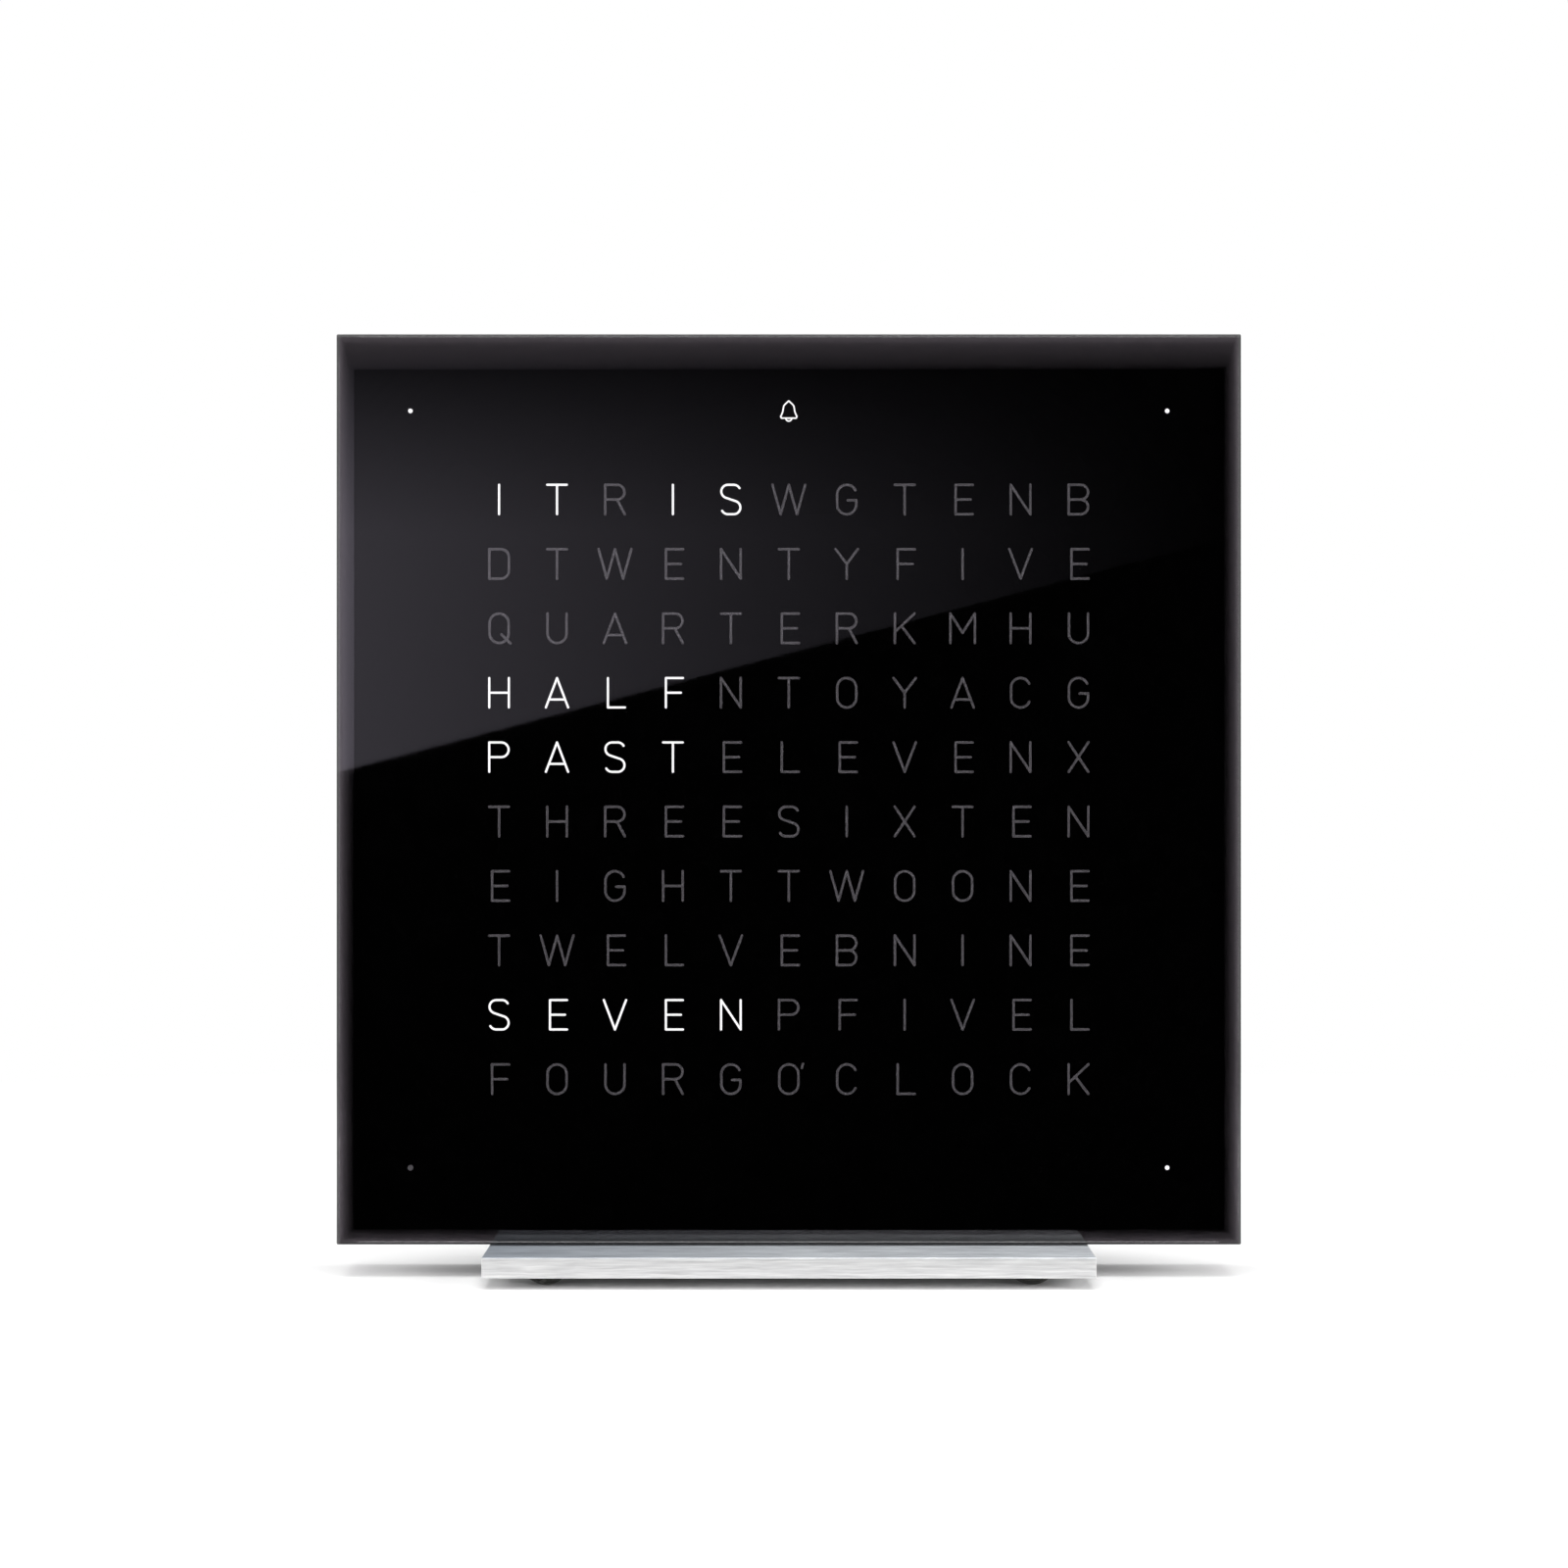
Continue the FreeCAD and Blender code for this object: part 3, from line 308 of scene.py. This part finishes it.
class Graph:
    """The node tree of a material or a world, with short calls that add nodes to it."""

    def __init__(self, owner, end_kind):
        owner.use_nodes = True
        self.owner = owner
        self.tree = owner.node_tree
        self.tree.nodes.clear()
        self.output = self.tree.nodes.new("ShaderNode" + end_kind)

    def add(self, kind, inputs=(), settings=()):
        node = self.tree.nodes.new("ShaderNode" + kind)
        for key, value in dict(settings).items():
            setattr(node, key, value)
        for key, value in dict(inputs).items():
            if isinstance(value, bpy.types.NodeSocket):
                self.tree.links.new(value, node.inputs[key])
            else:
                node.inputs[key].default_value = value
        return node

    def math(self, operation, first, second=0.0, clamp=False):
        settings = {"operation": operation, "use_clamp": clamp}
        return self.add("Math", {0: first, 1: second}, settings).outputs[0]

    def within(self, value, middle, reach):
        """1 where value is no further than reach from middle, else 0."""
        inputs = {0: value, 1: middle, 2: reach}
        return self.add("Math", inputs, {"operation": "COMPARE"}).outputs[0]

    def place(self):
        return self.add("TexCoord").outputs["Object"]

    def split(self, vector):
        return self.add("SeparateXYZ", {0: vector}).outputs

    def stretch(self, vector, scale):
        return self.add("Mapping", {"Vector": vector, "Scale": scale}).outputs[0]

    def noise(self, vector, scale, detail=3.0):
        return self.add("TexNoise", {"Vector": vector, "Scale": scale, "Detail": detail}).outputs["Fac"]

    def ramp(self, value, stops):
        """stops are pairs of a place from 0 to 1 and a colour or a grey level."""
        node = self.add("ValToRGB", {"Fac": value})
        elements = node.color_ramp.elements
        while len(elements) < len(stops):
            elements.new(0.5)
        for element, (place, level) in zip(elements, stops):
            element.position = place
            element.color = (*level, 1) if isinstance(level, tuple) else (level, level, level, 1)
        return node.outputs["Color"]

    def span(self, value, low, high):
        """Maps 0..1 to low..high."""
        return self.add("MapRange", {"Value": value, "To Min": low, "To Max": high}).outputs[0]

    def rise(self, value, start, end, height=1.0):
        """0 up to start, then rises evenly, and stays at height from end on."""
        inputs = {"Value": value, "From Min": start, "From Max": end, "To Max": height}
        return self.add("MapRange", inputs).outputs[0]

    def choose(self, share, first, second):
        """A number between two others: first where share is 0, second where it is 1."""
        return self.add("Mix", {0: share, 2: first, 3: second}).outputs[0]

    def choose_colour(self, share, first, second, blend_type="MIX"):
        """The same for colours. With blend_type "MULTIPLY" it ends at first times second."""
        settings = {"data_type": "RGBA", "blend_type": blend_type}
        return self.add("Mix", {0: share, 6: first, 7: second}, settings).outputs[2]

    def bump(self, height, strength, distance):
        inputs = {"Height": height, "Strength": strength, "Distance": distance}
        return self.add("Bump", inputs).outputs[0]

    def shade(self, **inputs):
        """Ends the graph in a Principled shader. Underscores in names stand for spaces."""
        named = {key.replace("_", " "): value for key, value in inputs.items()}
        return self.end(self.add("BsdfPrincipled", named))

    def glow(self, colour, strength):
        """A shader that gives light."""
        return self.add("Emission", {"Color": colour, "Strength": strength})

    def end(self, shader):
        """Shows this shader, and returns the finished material or world."""
        self.tree.links.new(shader.outputs[0], self.output.inputs["Surface"])
        return self.owner


def material_graph(name):
    return Graph(bpy.data.materials.new(name), "OutputMaterial")


def grey(level):
    return (level, level, level, 1)


# Smoked acrylic

PANE_TINT = (0.8, 0.788, 0.8)
PANE_EDGE_TINTS = [(0, 0.15), (0.12, 0.38), (0.4, PANE_TINT)]
FACE_IOR = 1.49
GLOSS_LIMIT = 0.15
GLOSS_NEAR_EDGE = [(0, 0.4), (0.35, 1)]

# How clear a wall's front end looks, from the edge inwards. The places are shares of the width, in
# millimetres, over which it clears.
SIDE_WALL_SHOWN = 2.3
SIDE_WALL_CLEARNESS = [
    (0, 0.5),
    (0.04, 0.38),
    (0.2, 0.15),
    (0.37, 0.08),
    (0.67, 0.027),
    (0.85, 0.012),
    (1, 0),
]
TOP_WALL_SHOWN = 5.0
TOP_WALL_CLEARNESS = [
    (0, 0.3),
    (0.04, 0.2),
    (0.23, 0.085),
    (0.52, 0.051),
    (0.81, 0.027),
    (0.93, 0.012),
    (1, 0),
]
WALL_END_DEPTH = 0.2 * MM

# How clear the walls look everywhere else
WALL_CLEARNESS = 0.6
SMOKE_COLOUR = (1.0, 0.95, 1.0, 1)


def clear_gloss(graph, tint, roughness, gloss_limit=GLOSS_LIMIT):
    """See-through acrylic: what lies behind, tinted, under a polished face."""
    see = graph.add("BsdfTransparent", {"Color": tint}).outputs[0]
    gloss = graph.add("BsdfGlossy", {"Color": grey(1), "Roughness": roughness}).outputs[0]
    fresnel = graph.add("Fresnel", {"IOR": FACE_IOR}).outputs[0]
    share = graph.math("MINIMUM", fresnel, gloss_limit)
    return graph.end(graph.add("MixShader", {0: share, 1: see, 2: gloss}))


def edge_distance(graph, node):
    """How far a point lies in from the nearest side or bottom edge, and from the top edge, in mm."""
    low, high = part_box(node)
    x, _, z = graph.split(graph.place())
    left = graph.math("SUBTRACT", x, low.x)
    right = graph.math("SUBTRACT", high.x, x)
    up = graph.math("SUBTRACT", z, low.z)
    down = graph.math("SUBTRACT", high.z, z)
    sides = graph.math("MINIMUM", graph.math("MINIMUM", left, right), up)
    return graph.math("DIVIDE", sides, MM), graph.math("DIVIDE", down, MM)


def smoked_pane():
    """The front: clear over its whole face, and darker and less glossy along its cut edges."""
    graph = material_graph("smoked_pane")
    side, top = edge_distance(graph, "front_pane")
    edge = graph.math("MINIMUM", side, top, clamp=True)
    smudge = graph.noise(graph.place(), 35.0, 4.0)
    gloss_limit = graph.span(graph.ramp(edge, GLOSS_NEAR_EDGE), 0.0, GLOSS_LIMIT)
    tint = graph.ramp(edge, PANE_EDGE_TINTS)
    return clear_gloss(graph, tint, graph.span(smudge, 0.0, 0.03), gloss_limit)


def smoked_wall():
    """The housing's walls. Seen end-on at the rims they are clearest at the edge and darker inwards."""
    graph = material_graph("smoked_wall")
    side, top = edge_distance(graph, "housing_frame")
    across = graph.math("DIVIDE", side, SIDE_WALL_SHOWN, clamp=True)
    down = graph.math("DIVIDE", top, TOP_WALL_SHOWN, clamp=True)
    end_clearness = graph.math(
        "MAXIMUM", graph.ramp(across, SIDE_WALL_CLEARNESS), graph.ramp(down, TOP_WALL_CLEARNESS)
    )
    depth = graph.split(graph.place())[1]
    at_end = graph.math("LESS_THAN", depth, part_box("housing_frame")[0].y + WALL_END_DEPTH)
    clearness = graph.choose(at_end, WALL_CLEARNESS, end_clearness)
    smoke = graph.choose_colour(clearness, grey(0), SMOKE_COLOUR)
    polish = graph.noise(graph.place(), 60.0)
    return clear_gloss(graph, smoke, graph.span(polish, 0.01, 0.06))


# Plastics, metals and electronics

TONE_SPREAD = 0.15
ROUGHNESS_SPREAD = 0.08
GRAIN_DEPTH = 0.03 * MM


def moulded(name, level, grain, roughness, tint=(1, 1, 1)):
    """Moulded plastic with a fine spark-eroded grain."""
    graph = material_graph(name)
    place = graph.place()
    fine = graph.noise(place, grain, 2.0)
    cloud = graph.noise(place, 45.0)
    light = tuple(level * (1 + TONE_SPREAD) * part for part in tint)
    dark = tuple(level * (1 - TONE_SPREAD) * part for part in tint)
    colour = graph.ramp(cloud, [(0.3, dark), (0.7, light)])
    rough = graph.span(fine, roughness - ROUGHNESS_SPREAD, roughness + ROUGHNESS_SPREAD)
    return graph.shade(
        Base_Color=colour,
        Roughness=rough,
        Normal=graph.bump(fine, 0.35, GRAIN_DEPTH),
    )


ALUMINIUM_TONES = [
    (0.34, (0.48, 0.48, 0.485)),
    (0.5, (0.6, 0.6, 0.602)),
    (0.66, (0.715, 0.715, 0.712)),
]

# Painted light: the foot's top is darker and bluer at its left end and lighter at its right end. This ramp
# stands in for how the light falls across it
TOP_PAINTED_LIGHT = [(0, (0.68, 0.745, 0.83)), (0.5, (1.11, 1.16, 1.22)), (1, (1.25, 1.3, 1.36))]
TOP_SKIN = 0.05 * MM

# How dense the brush marks and their waves are along X, Y and Z, and how far the waves go either way
FINE_MARKS = (200, 2600, 4200)
BROAD_MARKS = (90, 560, 2800)
MARK_WAVES = (220, 160, 160)
MARK_SWAY = 0.2 * MM


def brushed_aluminium():
    """Aluminium brushed along X in long, slightly wavy strokes, with painted light on the foot's top:
    darker and bluer at its left end, lighter at its right.
    """
    graph = material_graph("brushed_aluminium")
    place = graph.place()
    sway = graph.noise(graph.stretch(place, MARK_WAVES), 1.0, 2.0)
    x, y, z = graph.split(place)
    lift = graph.span(sway, -MARK_SWAY, MARK_SWAY)
    swayed_y, swayed_z = graph.math("ADD", y, lift), graph.math("ADD", z, lift)
    swayed = graph.add("CombineXYZ", {0: x, 1: swayed_y, 2: swayed_z}).outputs[0]
    fine = graph.noise(graph.stretch(swayed, FINE_MARKS), 1.0, 4.0)
    broad = graph.noise(graph.stretch(swayed, BROAD_MARKS), 1.0)
    marks = graph.choose(0.5, fine, broad)
    low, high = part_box("foot_plate")
    across = graph.math("DIVIDE", graph.math("SUBTRACT", x, low.x), high.x - low.x, clamp=True)
    # Painted light: on the top face the brushed tone is multiplied by a ramp along X
    on_top = graph.math("GREATER_THAN", z, high.z - TOP_SKIN)
    tone, painted_top_light = graph.ramp(marks, ALUMINIUM_TONES), graph.ramp(across, TOP_PAINTED_LIGHT)
    colour = graph.choose_colour(on_top, tone, painted_top_light, "MULTIPLY")
    return graph.shade(
        Base_Color=colour,
        Metallic=0.75,
        Roughness=graph.span(marks, 0.45, 0.65),
        Normal=graph.bump(fine, 0.3, 0.02 * MM),
    )


def plated(name, colour, roughness):
    """Plated or stamped metal with faint rubbing marks."""
    graph = material_graph(name)
    marks = graph.noise(graph.stretch(graph.place(), (900, 2500, 2500)), 1.0)
    tone = graph.ramp(marks, [(0.3, tuple(part * 0.85 for part in colour)), (0.7, colour)])
    return graph.shade(
        Base_Color=tone,
        Metallic=1.0,
        Roughness=graph.span(marks, roughness - 0.08, roughness + 0.1),
        Normal=graph.bump(marks, 0.15, 0.01 * MM),
    )


def bumper_rubber():
    graph = material_graph("bumper_rubber")
    cloud = graph.noise(graph.place(), 700.0)
    colour = graph.ramp(cloud, [(0.3, (0.03, 0.03, 0.026)), (0.7, (0.05, 0.05, 0.044))])
    return graph.shade(Base_Color=colour, Roughness=graph.span(cloud, 0.2, 0.32), IOR=1.5)


# Mask, letters and diffuser

LETTER_GLOW = 1.6
SHEET_GLOW = 1.2
BELL_WELL_HALF_SIDE = 2.2 * MM
DOT_WELL_HALF_SIDE = 1.5 * MM


def mask_black():
    graph = material_graph("mask_black")
    cloud = graph.noise(graph.place(), 400.0, 2.0)
    colour = graph.ramp(cloud, [(0.3, 0.0004), (0.7, 0.0008)])
    return graph.shade(Base_Color=colour, Roughness=0.9, Specular_IOR_Level=0.0)


def letter_painted_shade():
    """An unlit letter: a grey film in its window that stands in for the white sheet seen dimly through it.
    Its grey is partly painted shade of the window and partly the sheet's own dim look over its dark
    chamber.
    """
    graph = material_graph("letter_painted_shade")
    cloud = graph.noise(graph.place(), 900.0, 2.0)
    colour = graph.ramp(cloud, [(0.3, (0.132, 0.132, 0.137)), (0.7, (0.147, 0.147, 0.152))])
    return graph.shade(Base_Color=colour, Roughness=0.8, Specular_IOR_Level=0.1)


def letter_light():
    graph = material_graph("letter_light")
    cloud = graph.noise(graph.place(), 900.0, 1.0)
    colour = graph.ramp(cloud, [(0.3, (0.97, 0.98, 1.0)), (0.7, (1.0, 1.0, 1.0))])
    return graph.end(graph.glow(colour, LETTER_GLOW))


def inside_rectangle(graph, coordinates, centre, half_sides):
    """1 inside a rectangle of XZ, else 0."""
    x, _, z = coordinates
    near_x = graph.within(x, centre[0], half_sides[0])
    near_z = graph.within(z, centre[1], half_sides[1])
    return graph.math("MULTIPLY", near_x, near_z)


def lit_chambers(graph, coordinates):
    """1 over the chambers of the lit words, dots and bell, else 0."""
    rectangles = [(BELL_PLACE, (BELL_WELL_HALF_SIDE, BELL_WELL_HALF_SIDE))]
    for row, first, last in LIT_WORDS.values():
        start, end = letter_place(row, first), letter_place(row, last)
        middle = ((start[0] + end[0]) / 2, start[1])
        rectangles.append((middle, ((end[0] - start[0] + COLUMN_PITCH) / 2, ROW_PITCH / 2)))
    for place in LIT_DOTS:
        rectangles.append((place, (DOT_WELL_HALF_SIDE, DOT_WELL_HALF_SIDE)))
    total = 0.0
    for centre, half_sides in rectangles:
        total = graph.math("ADD", total, inside_rectangle(graph, coordinates, centre, half_sides))
    return total


def diffuser_white():
    """The white sheet, glowing over the chambers whose LEDs are on."""
    graph = material_graph("diffuser_white")
    place = graph.place()
    cloud = graph.noise(place, 500.0, 2.0)
    colour = graph.ramp(cloud, [(0.3, 0.74), (0.7, 0.8)])
    glow = lit_chambers(graph, graph.split(place))
    return graph.shade(
        Base_Color=colour,
        Roughness=0.7,
        Emission_Color=grey(1),
        Emission_Strength=graph.math("MULTIPLY", glow, SHEET_GLOW),
    )


# The films in the mask's windows


def make_film(name, groups, depth, material):
    """One piece that moves with the front cover. Outlines may overlap within a group."""
    mesh = bmesh.new()
    for outlines in groups:
        add_flat_solid(mesh, outlines, depth)
    piece = piece_from(mesh, name)
    piece.data.materials.append(material)
    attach(piece, "front_cover")


def make_letters(dark, light):
    """Every window has a grey film, partly painted shade, that stands in for the dim white sheet behind it.
    It is narrow where its letter is unlit, and as wide as the window where a thin glowing letter lies in
    front of it."""
    strokes = letter_strokes()

    def letter_outlines(letter, stroke_width, row, column):
        return outlines_at(strokes[letter], stroke_width, letter_place(row, column))

    lit_places = set()
    for word, (row, first, last) in LIT_WORDS.items():
        groups = []
        for column in range(first, last + 1):
            lit_places.add((row, column))
            letter = LETTER_ROWS[row - 1][column - 1]
            groups.append(letter_outlines(letter, LIT_STROKE, row, column))
        make_film(f"lit_word_{word}", groups, GLOW_DEPTH, light)
    for row, letters in enumerate(LETTER_ROWS, 1):
        groups = []
        for column, letter in enumerate(letters, 1):
            width = WINDOW_STROKE if (row, column) in lit_places else DARK_STROKE
            groups.append(letter_outlines(letter, width, row, column))
        if row == APOSTROPHE_PLACE[0]:
            groups.append(letter_outlines("'", DARK_STROKE, *APOSTROPHE_PLACE))
        make_film(f"dark_letters_row_{row}", groups, INLAY_DEPTH, dark)


def make_bell(dark, light):
    """The bell glows as an outline, in front of a grey film of partly painted shade as wide as its window.
    """
    clapper = arc((0, BELL_BASE), CLAPPER_RADIUS - LIT_BELL_STROKE / 2 / MM, 180, 360)
    outlines = outlines_at(bell_strokes() + clapper, LIT_BELL_STROKE, BELL_PLACE)
    make_film("lit_bell", [outlines], GLOW_DEPTH, light)
    clapper = sweep((0, BELL_BASE), CLAPPER_RADIUS, 180, 360)
    outlines = outlines_at(bell_strokes(), BELL_STROKE, BELL_PLACE)
    outlines.append([point * MM + Vector(BELL_PLACE) for point in clapper])
    make_film("dark_bell", [outlines], INLAY_DEPTH, dark)


def make_dots(dark, light):
    """Three of the four minute dots glow in front of their grey films of partly painted shade."""

    def circles(places, radius):
        return [[sweep(place, radius, 0, 360)[:-1]] for place in places]

    make_film("lit_dots", circles(LIT_DOTS, LIT_DOT_RADIUS), GLOW_DEPTH, light)
    make_film("dark_dots", circles(LIT_DOTS + [DARK_DOT], DOT_RADIUS), INLAY_DEPTH, dark)


def paint_nodes():
    """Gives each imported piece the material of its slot."""
    materials = {
        "mask_black": mask_black(),
        "magnet_steel": plated("magnet_steel", (0.72, 0.72, 0.74), 0.22),
        "black_plastic": moulded("black_plastic", 0.02, 3500.0, 0.5),
        "button_plastic": moulded("button_plastic", 0.045, 5000.0, 0.38),
        "diffuser_white": diffuser_white(),
        "board": moulded("board", 0.05, 1500.0, 0.35, (0.3, 1.0, 0.6)),
        "led_white": moulded("led_white", 0.7, 3000.0, 0.4, (1.0, 0.97, 0.8)),
        "chip_black": moulded("chip_black", 0.025, 4000.0, 0.55),
        "screw_steel": plated("screw_steel", (0.62, 0.62, 0.64), 0.3),
        "brass": plated("brass", (0.8, 0.62, 0.3), 0.3),
        "copper": plated("copper", (0.86, 0.5, 0.34), 0.3),
        "socket_metal": plated("socket_metal", (0.66, 0.66, 0.67), 0.3),
        "foot_aluminium": brushed_aluminium(),
        "bumper_rubber": bumper_rubber(),
        "smoked_acrylic": smoked_wall(),
    }
    slots = {part["node"]: part["material_slot"] for part in frame["record"]["subparts"]}
    pane = smoked_pane()
    for name, node in nodes.items():
        material = pane if name == "front_pane" else materials[slots[name]]
        node.data.materials.clear()
        node.data.materials.append(material)


# Camera: level and straight on, standing a hair left of the clock's middle

FRAME_PIXELS = 1600
FOCAL_PIXELS = 4300
SENSOR_WIDTH = 36.0
CAMERA_DISTANCE = 629 * MM
CAMERA_X = -0.717 * MM
CAMERA_Z = 73.65 * MM
FACE_Y = pane_low.y


def make_camera():
    data = bpy.data.cameras.new("camera")
    data.sensor_width = SENSOR_WIDTH
    data.lens = SENSOR_WIDTH * FOCAL_PIXELS / FRAME_PIXELS
    data.clip_start = 0.01
    data.clip_end = 50
    camera = bpy.data.objects.new("camera", data)
    camera.location = (CAMERA_X, FACE_Y - CAMERA_DISTANCE, CAMERA_Z)
    camera.rotation_euler = (math.pi / 2, 0, 0)
    bpy.context.scene.collection.objects.link(camera)
    bpy.context.scene.camera = camera


# Studio

# The front mirrors a soft light with a slanted edge. These are places on the front where it is seen.
SHEEN_LEFT, SHEEN_RIGHT = -67.4 * MM, 67.4 * MM
SHEEN_EDGE_AT_LEFT = 75.4 * MM
SHEEN_EDGE_SLOPE = 0.2637
SHEEN_TOP = 140.8 * MM
SHEEN_TOP_FADE = 29.5 * MM
SHEEN_STRENGTH = 0.89
SHEEN_COLOUR = (1.0, 0.94, 1.12, 1)
CARD_BEHIND_CAMERA = 80 * MM
CARD_REACH = 78 * MM

# The black card on the floor
FLAG_NEAR, FLAG_FAR = -32 * MM, -1.2
FLAG_HALF_WIDTH = 0.5
FLAG_HEIGHT = 0.2 * MM

# The floor shows its shadows up to the first distance, and is plain white from the second one on
FLOOR_HALF_SIDE = 12.0
FLOOR_WHITE = 0.94
SHADOW_REACH, PLAIN_REACH = 0.25, 0.45
# Painted light beside the foot: from the first distance to the second, counted out from the middle, white
# light is mixed into the floor where it is seen, up to this share, which lifts the clock's shadow there
BESIDE_FOOT_START, BESIDE_FOOT_FULL = 45 * MM, 60 * MM
PAINTED_LIGHT_BESIDE_FOOT = 0.3

ROOM_LIGHT = 0.7
WHITE = 1.0

# Square lamps aimed at the clock's middle: name, place, size and power
LAMPS = (
    ("top_light", (0, -0.1, 1.1), 0.9, 9.0),
    ("left_light", (-0.95, -0.75, 0.28), 0.6, 8.0),
    ("right_light", (0.95, -0.75, 0.28), 0.6, 11.5),
)


def flat_card(name, low, high, material):
    """A rectangle between two corners that lies in XY or stands in XZ, and isn't part of the object."""
    (left, near, bottom), (right, far, top) = low, high
    corners = [(left, near, bottom), (right, near, bottom), (right, far, top), (left, far, top)]
    data = bpy.data.meshes.new(name)
    data.from_pydata(corners, [], [(0, 1, 2, 3)])
    data.materials.append(material)
    card = bpy.data.objects.new(name, data)
    bpy.context.scene.collection.objects.link(card)
    return card


def only_reflected(card):
    """Only glossy surfaces see this card."""
    card.visible_camera = False
    card.visible_diffuse = False
    card.visible_transmission = False
    card.visible_volume_scatter = False
    card.visible_shadow = False


def sheen_strength(graph):
    """The soft light that the front mirrors: bright at the left, ending in a slanted straight edge."""
    x, _, z = graph.split(graph.place())
    rise = graph.math("MULTIPLY", graph.math("SUBTRACT", x, SHEEN_LEFT), SHEEN_EDGE_SLOPE)
    above = graph.math("GREATER_THAN", z, graph.math("ADD", rise, SHEEN_EDGE_AT_LEFT))
    width = SHEEN_RIGHT - SHEEN_LEFT
    across = graph.math("DIVIDE", graph.math("SUBTRACT", SHEEN_RIGHT, x), width, clamp=True)
    across = graph.math("MULTIPLY", across, graph.span(across, 0.2, 1.0))
    down = graph.math("DIVIDE", graph.math("SUBTRACT", SHEEN_TOP, z), SHEEN_TOP_FADE, clamp=True)
    level = graph.math("MULTIPLY", graph.math("MULTIPLY", across, down), above)
    return graph.math("MULTIPLY", level, SHEEN_STRENGTH)


def make_reflection_card():
    """A black card behind the camera that carries the soft light. Its own coordinates are those of the
    point on the front where the camera sees it mirrored."""
    graph = material_graph("reflection_card")
    material = graph.end(graph.glow(SHEEN_COLOUR, sheen_strength(graph)))
    low = (-CARD_REACH, 0, MIDDLE_Z - CARD_REACH)
    high = (CARD_REACH, 0, MIDDLE_Z + CARD_REACH)
    card = flat_card("reflection_card", low, high, material)
    growth = (2 * CAMERA_DISTANCE + CARD_BEHIND_CAMERA) / CAMERA_DISTANCE
    card.scale = (growth, 1, growth)
    card.location = (
        CAMERA_X * (1 - growth),
        FACE_Y - CAMERA_DISTANCE - CARD_BEHIND_CAMERA,
        CAMERA_Z * (1 - growth),
    )
    only_reflected(card)


def make_floor_flag():
    """A black card lying in front of the foot, so that the front mirrors no white floor."""
    graph = material_graph("floor_flag")
    material = graph.end(graph.add("BsdfDiffuse", {"Color": grey(0)}))
    low = (-FLAG_HALF_WIDTH, FLAG_FAR, FLAG_HEIGHT)
    high = (FLAG_HALF_WIDTH, FLAG_NEAR, FLAG_HEIGHT)
    only_reflected(flat_card("floor_flag", low, high, material))


def seen_directly(graph):
    """1 for rays that see the background themselves, or mirrored or through glass."""
    path = graph.add("LightPath").outputs
    seen = graph.math("MAXIMUM", path["Is Camera Ray"], path["Is Glossy Ray"])
    return graph.math("MAXIMUM", seen, path["Is Transmission Ray"])


def make_floor():
    """White floor that keeps the clock's shadow nearby, with painted light that lifts that shadow beside
    the foot, and turns into plain white further out."""
    graph = material_graph("floor")
    place = graph.place()
    distance = graph.add("VectorMath", {0: place}, {"operation": "LENGTH"}).outputs["Value"]
    far = graph.rise(distance, SHADOW_REACH, PLAIN_REACH)
    aside = graph.math("ABSOLUTE", graph.split(place)[0])
    # Painted light that lifts the clock's shadow beside the foot
    painted_light_beside_foot = graph.rise(aside, BESIDE_FOOT_START, BESIDE_FOOT_FULL, PAINTED_LIGHT_BESIDE_FOOT)
    share = graph.math("MULTIPLY", graph.math("MAXIMUM", far, painted_light_beside_foot), seen_directly(graph))
    paper = graph.add("BsdfDiffuse", {"Color": grey(FLOOR_WHITE)}).outputs[0]
    plain = graph.glow(grey(1), WHITE).outputs[0]
    material = graph.end(graph.add("MixShader", {0: share, 1: paper, 2: plain}))
    half = FLOOR_HALF_SIDE
    flat_card("floor", (-half, -half, 0), (half, half, 0), material)


def add_lamp(name, place, target, size, power):
    data = bpy.data.lights.new(name, "AREA")
    data.shape = "SQUARE"
    data.size = size
    data.energy = power
    lamp = bpy.data.objects.new(name, data)
    lamp.location = place
    lamp.rotation_euler = (Vector(target) - Vector(place)).to_track_quat("-Z", "Y").to_euler()
    bpy.context.scene.collection.objects.link(lamp)


def make_world():
    """Even light from all round, on a background that is seen as plain white."""
    world = bpy.data.worlds.new("studio")
    bpy.context.scene.world = world
    graph = Graph(world, "OutputWorld")
    strength = graph.span(seen_directly(graph), ROOM_LIGHT, WHITE)
    graph.end(graph.add("Background", {"Color": grey(1), "Strength": strength}))


def make_studio():
    make_world()
    make_floor()
    make_floor_flag()
    make_reflection_card()
    for name, place, size, power in LAMPS:
        add_lamp(name, place, (0, 0, MIDDLE_Z), size, power)
    bpy.context.scene.view_settings.view_transform = "Standard"


paint_nodes()
# The grey films are partly painted shade, standing in for the dim white sheet seen through the windows
painted_shade_film, glowing_film = letter_painted_shade(), letter_light()
make_letters(painted_shade_film, glowing_film)
make_bell(painted_shade_film, glowing_film)
make_dots(painted_shade_film, glowing_film)
make_camera()
make_studio()
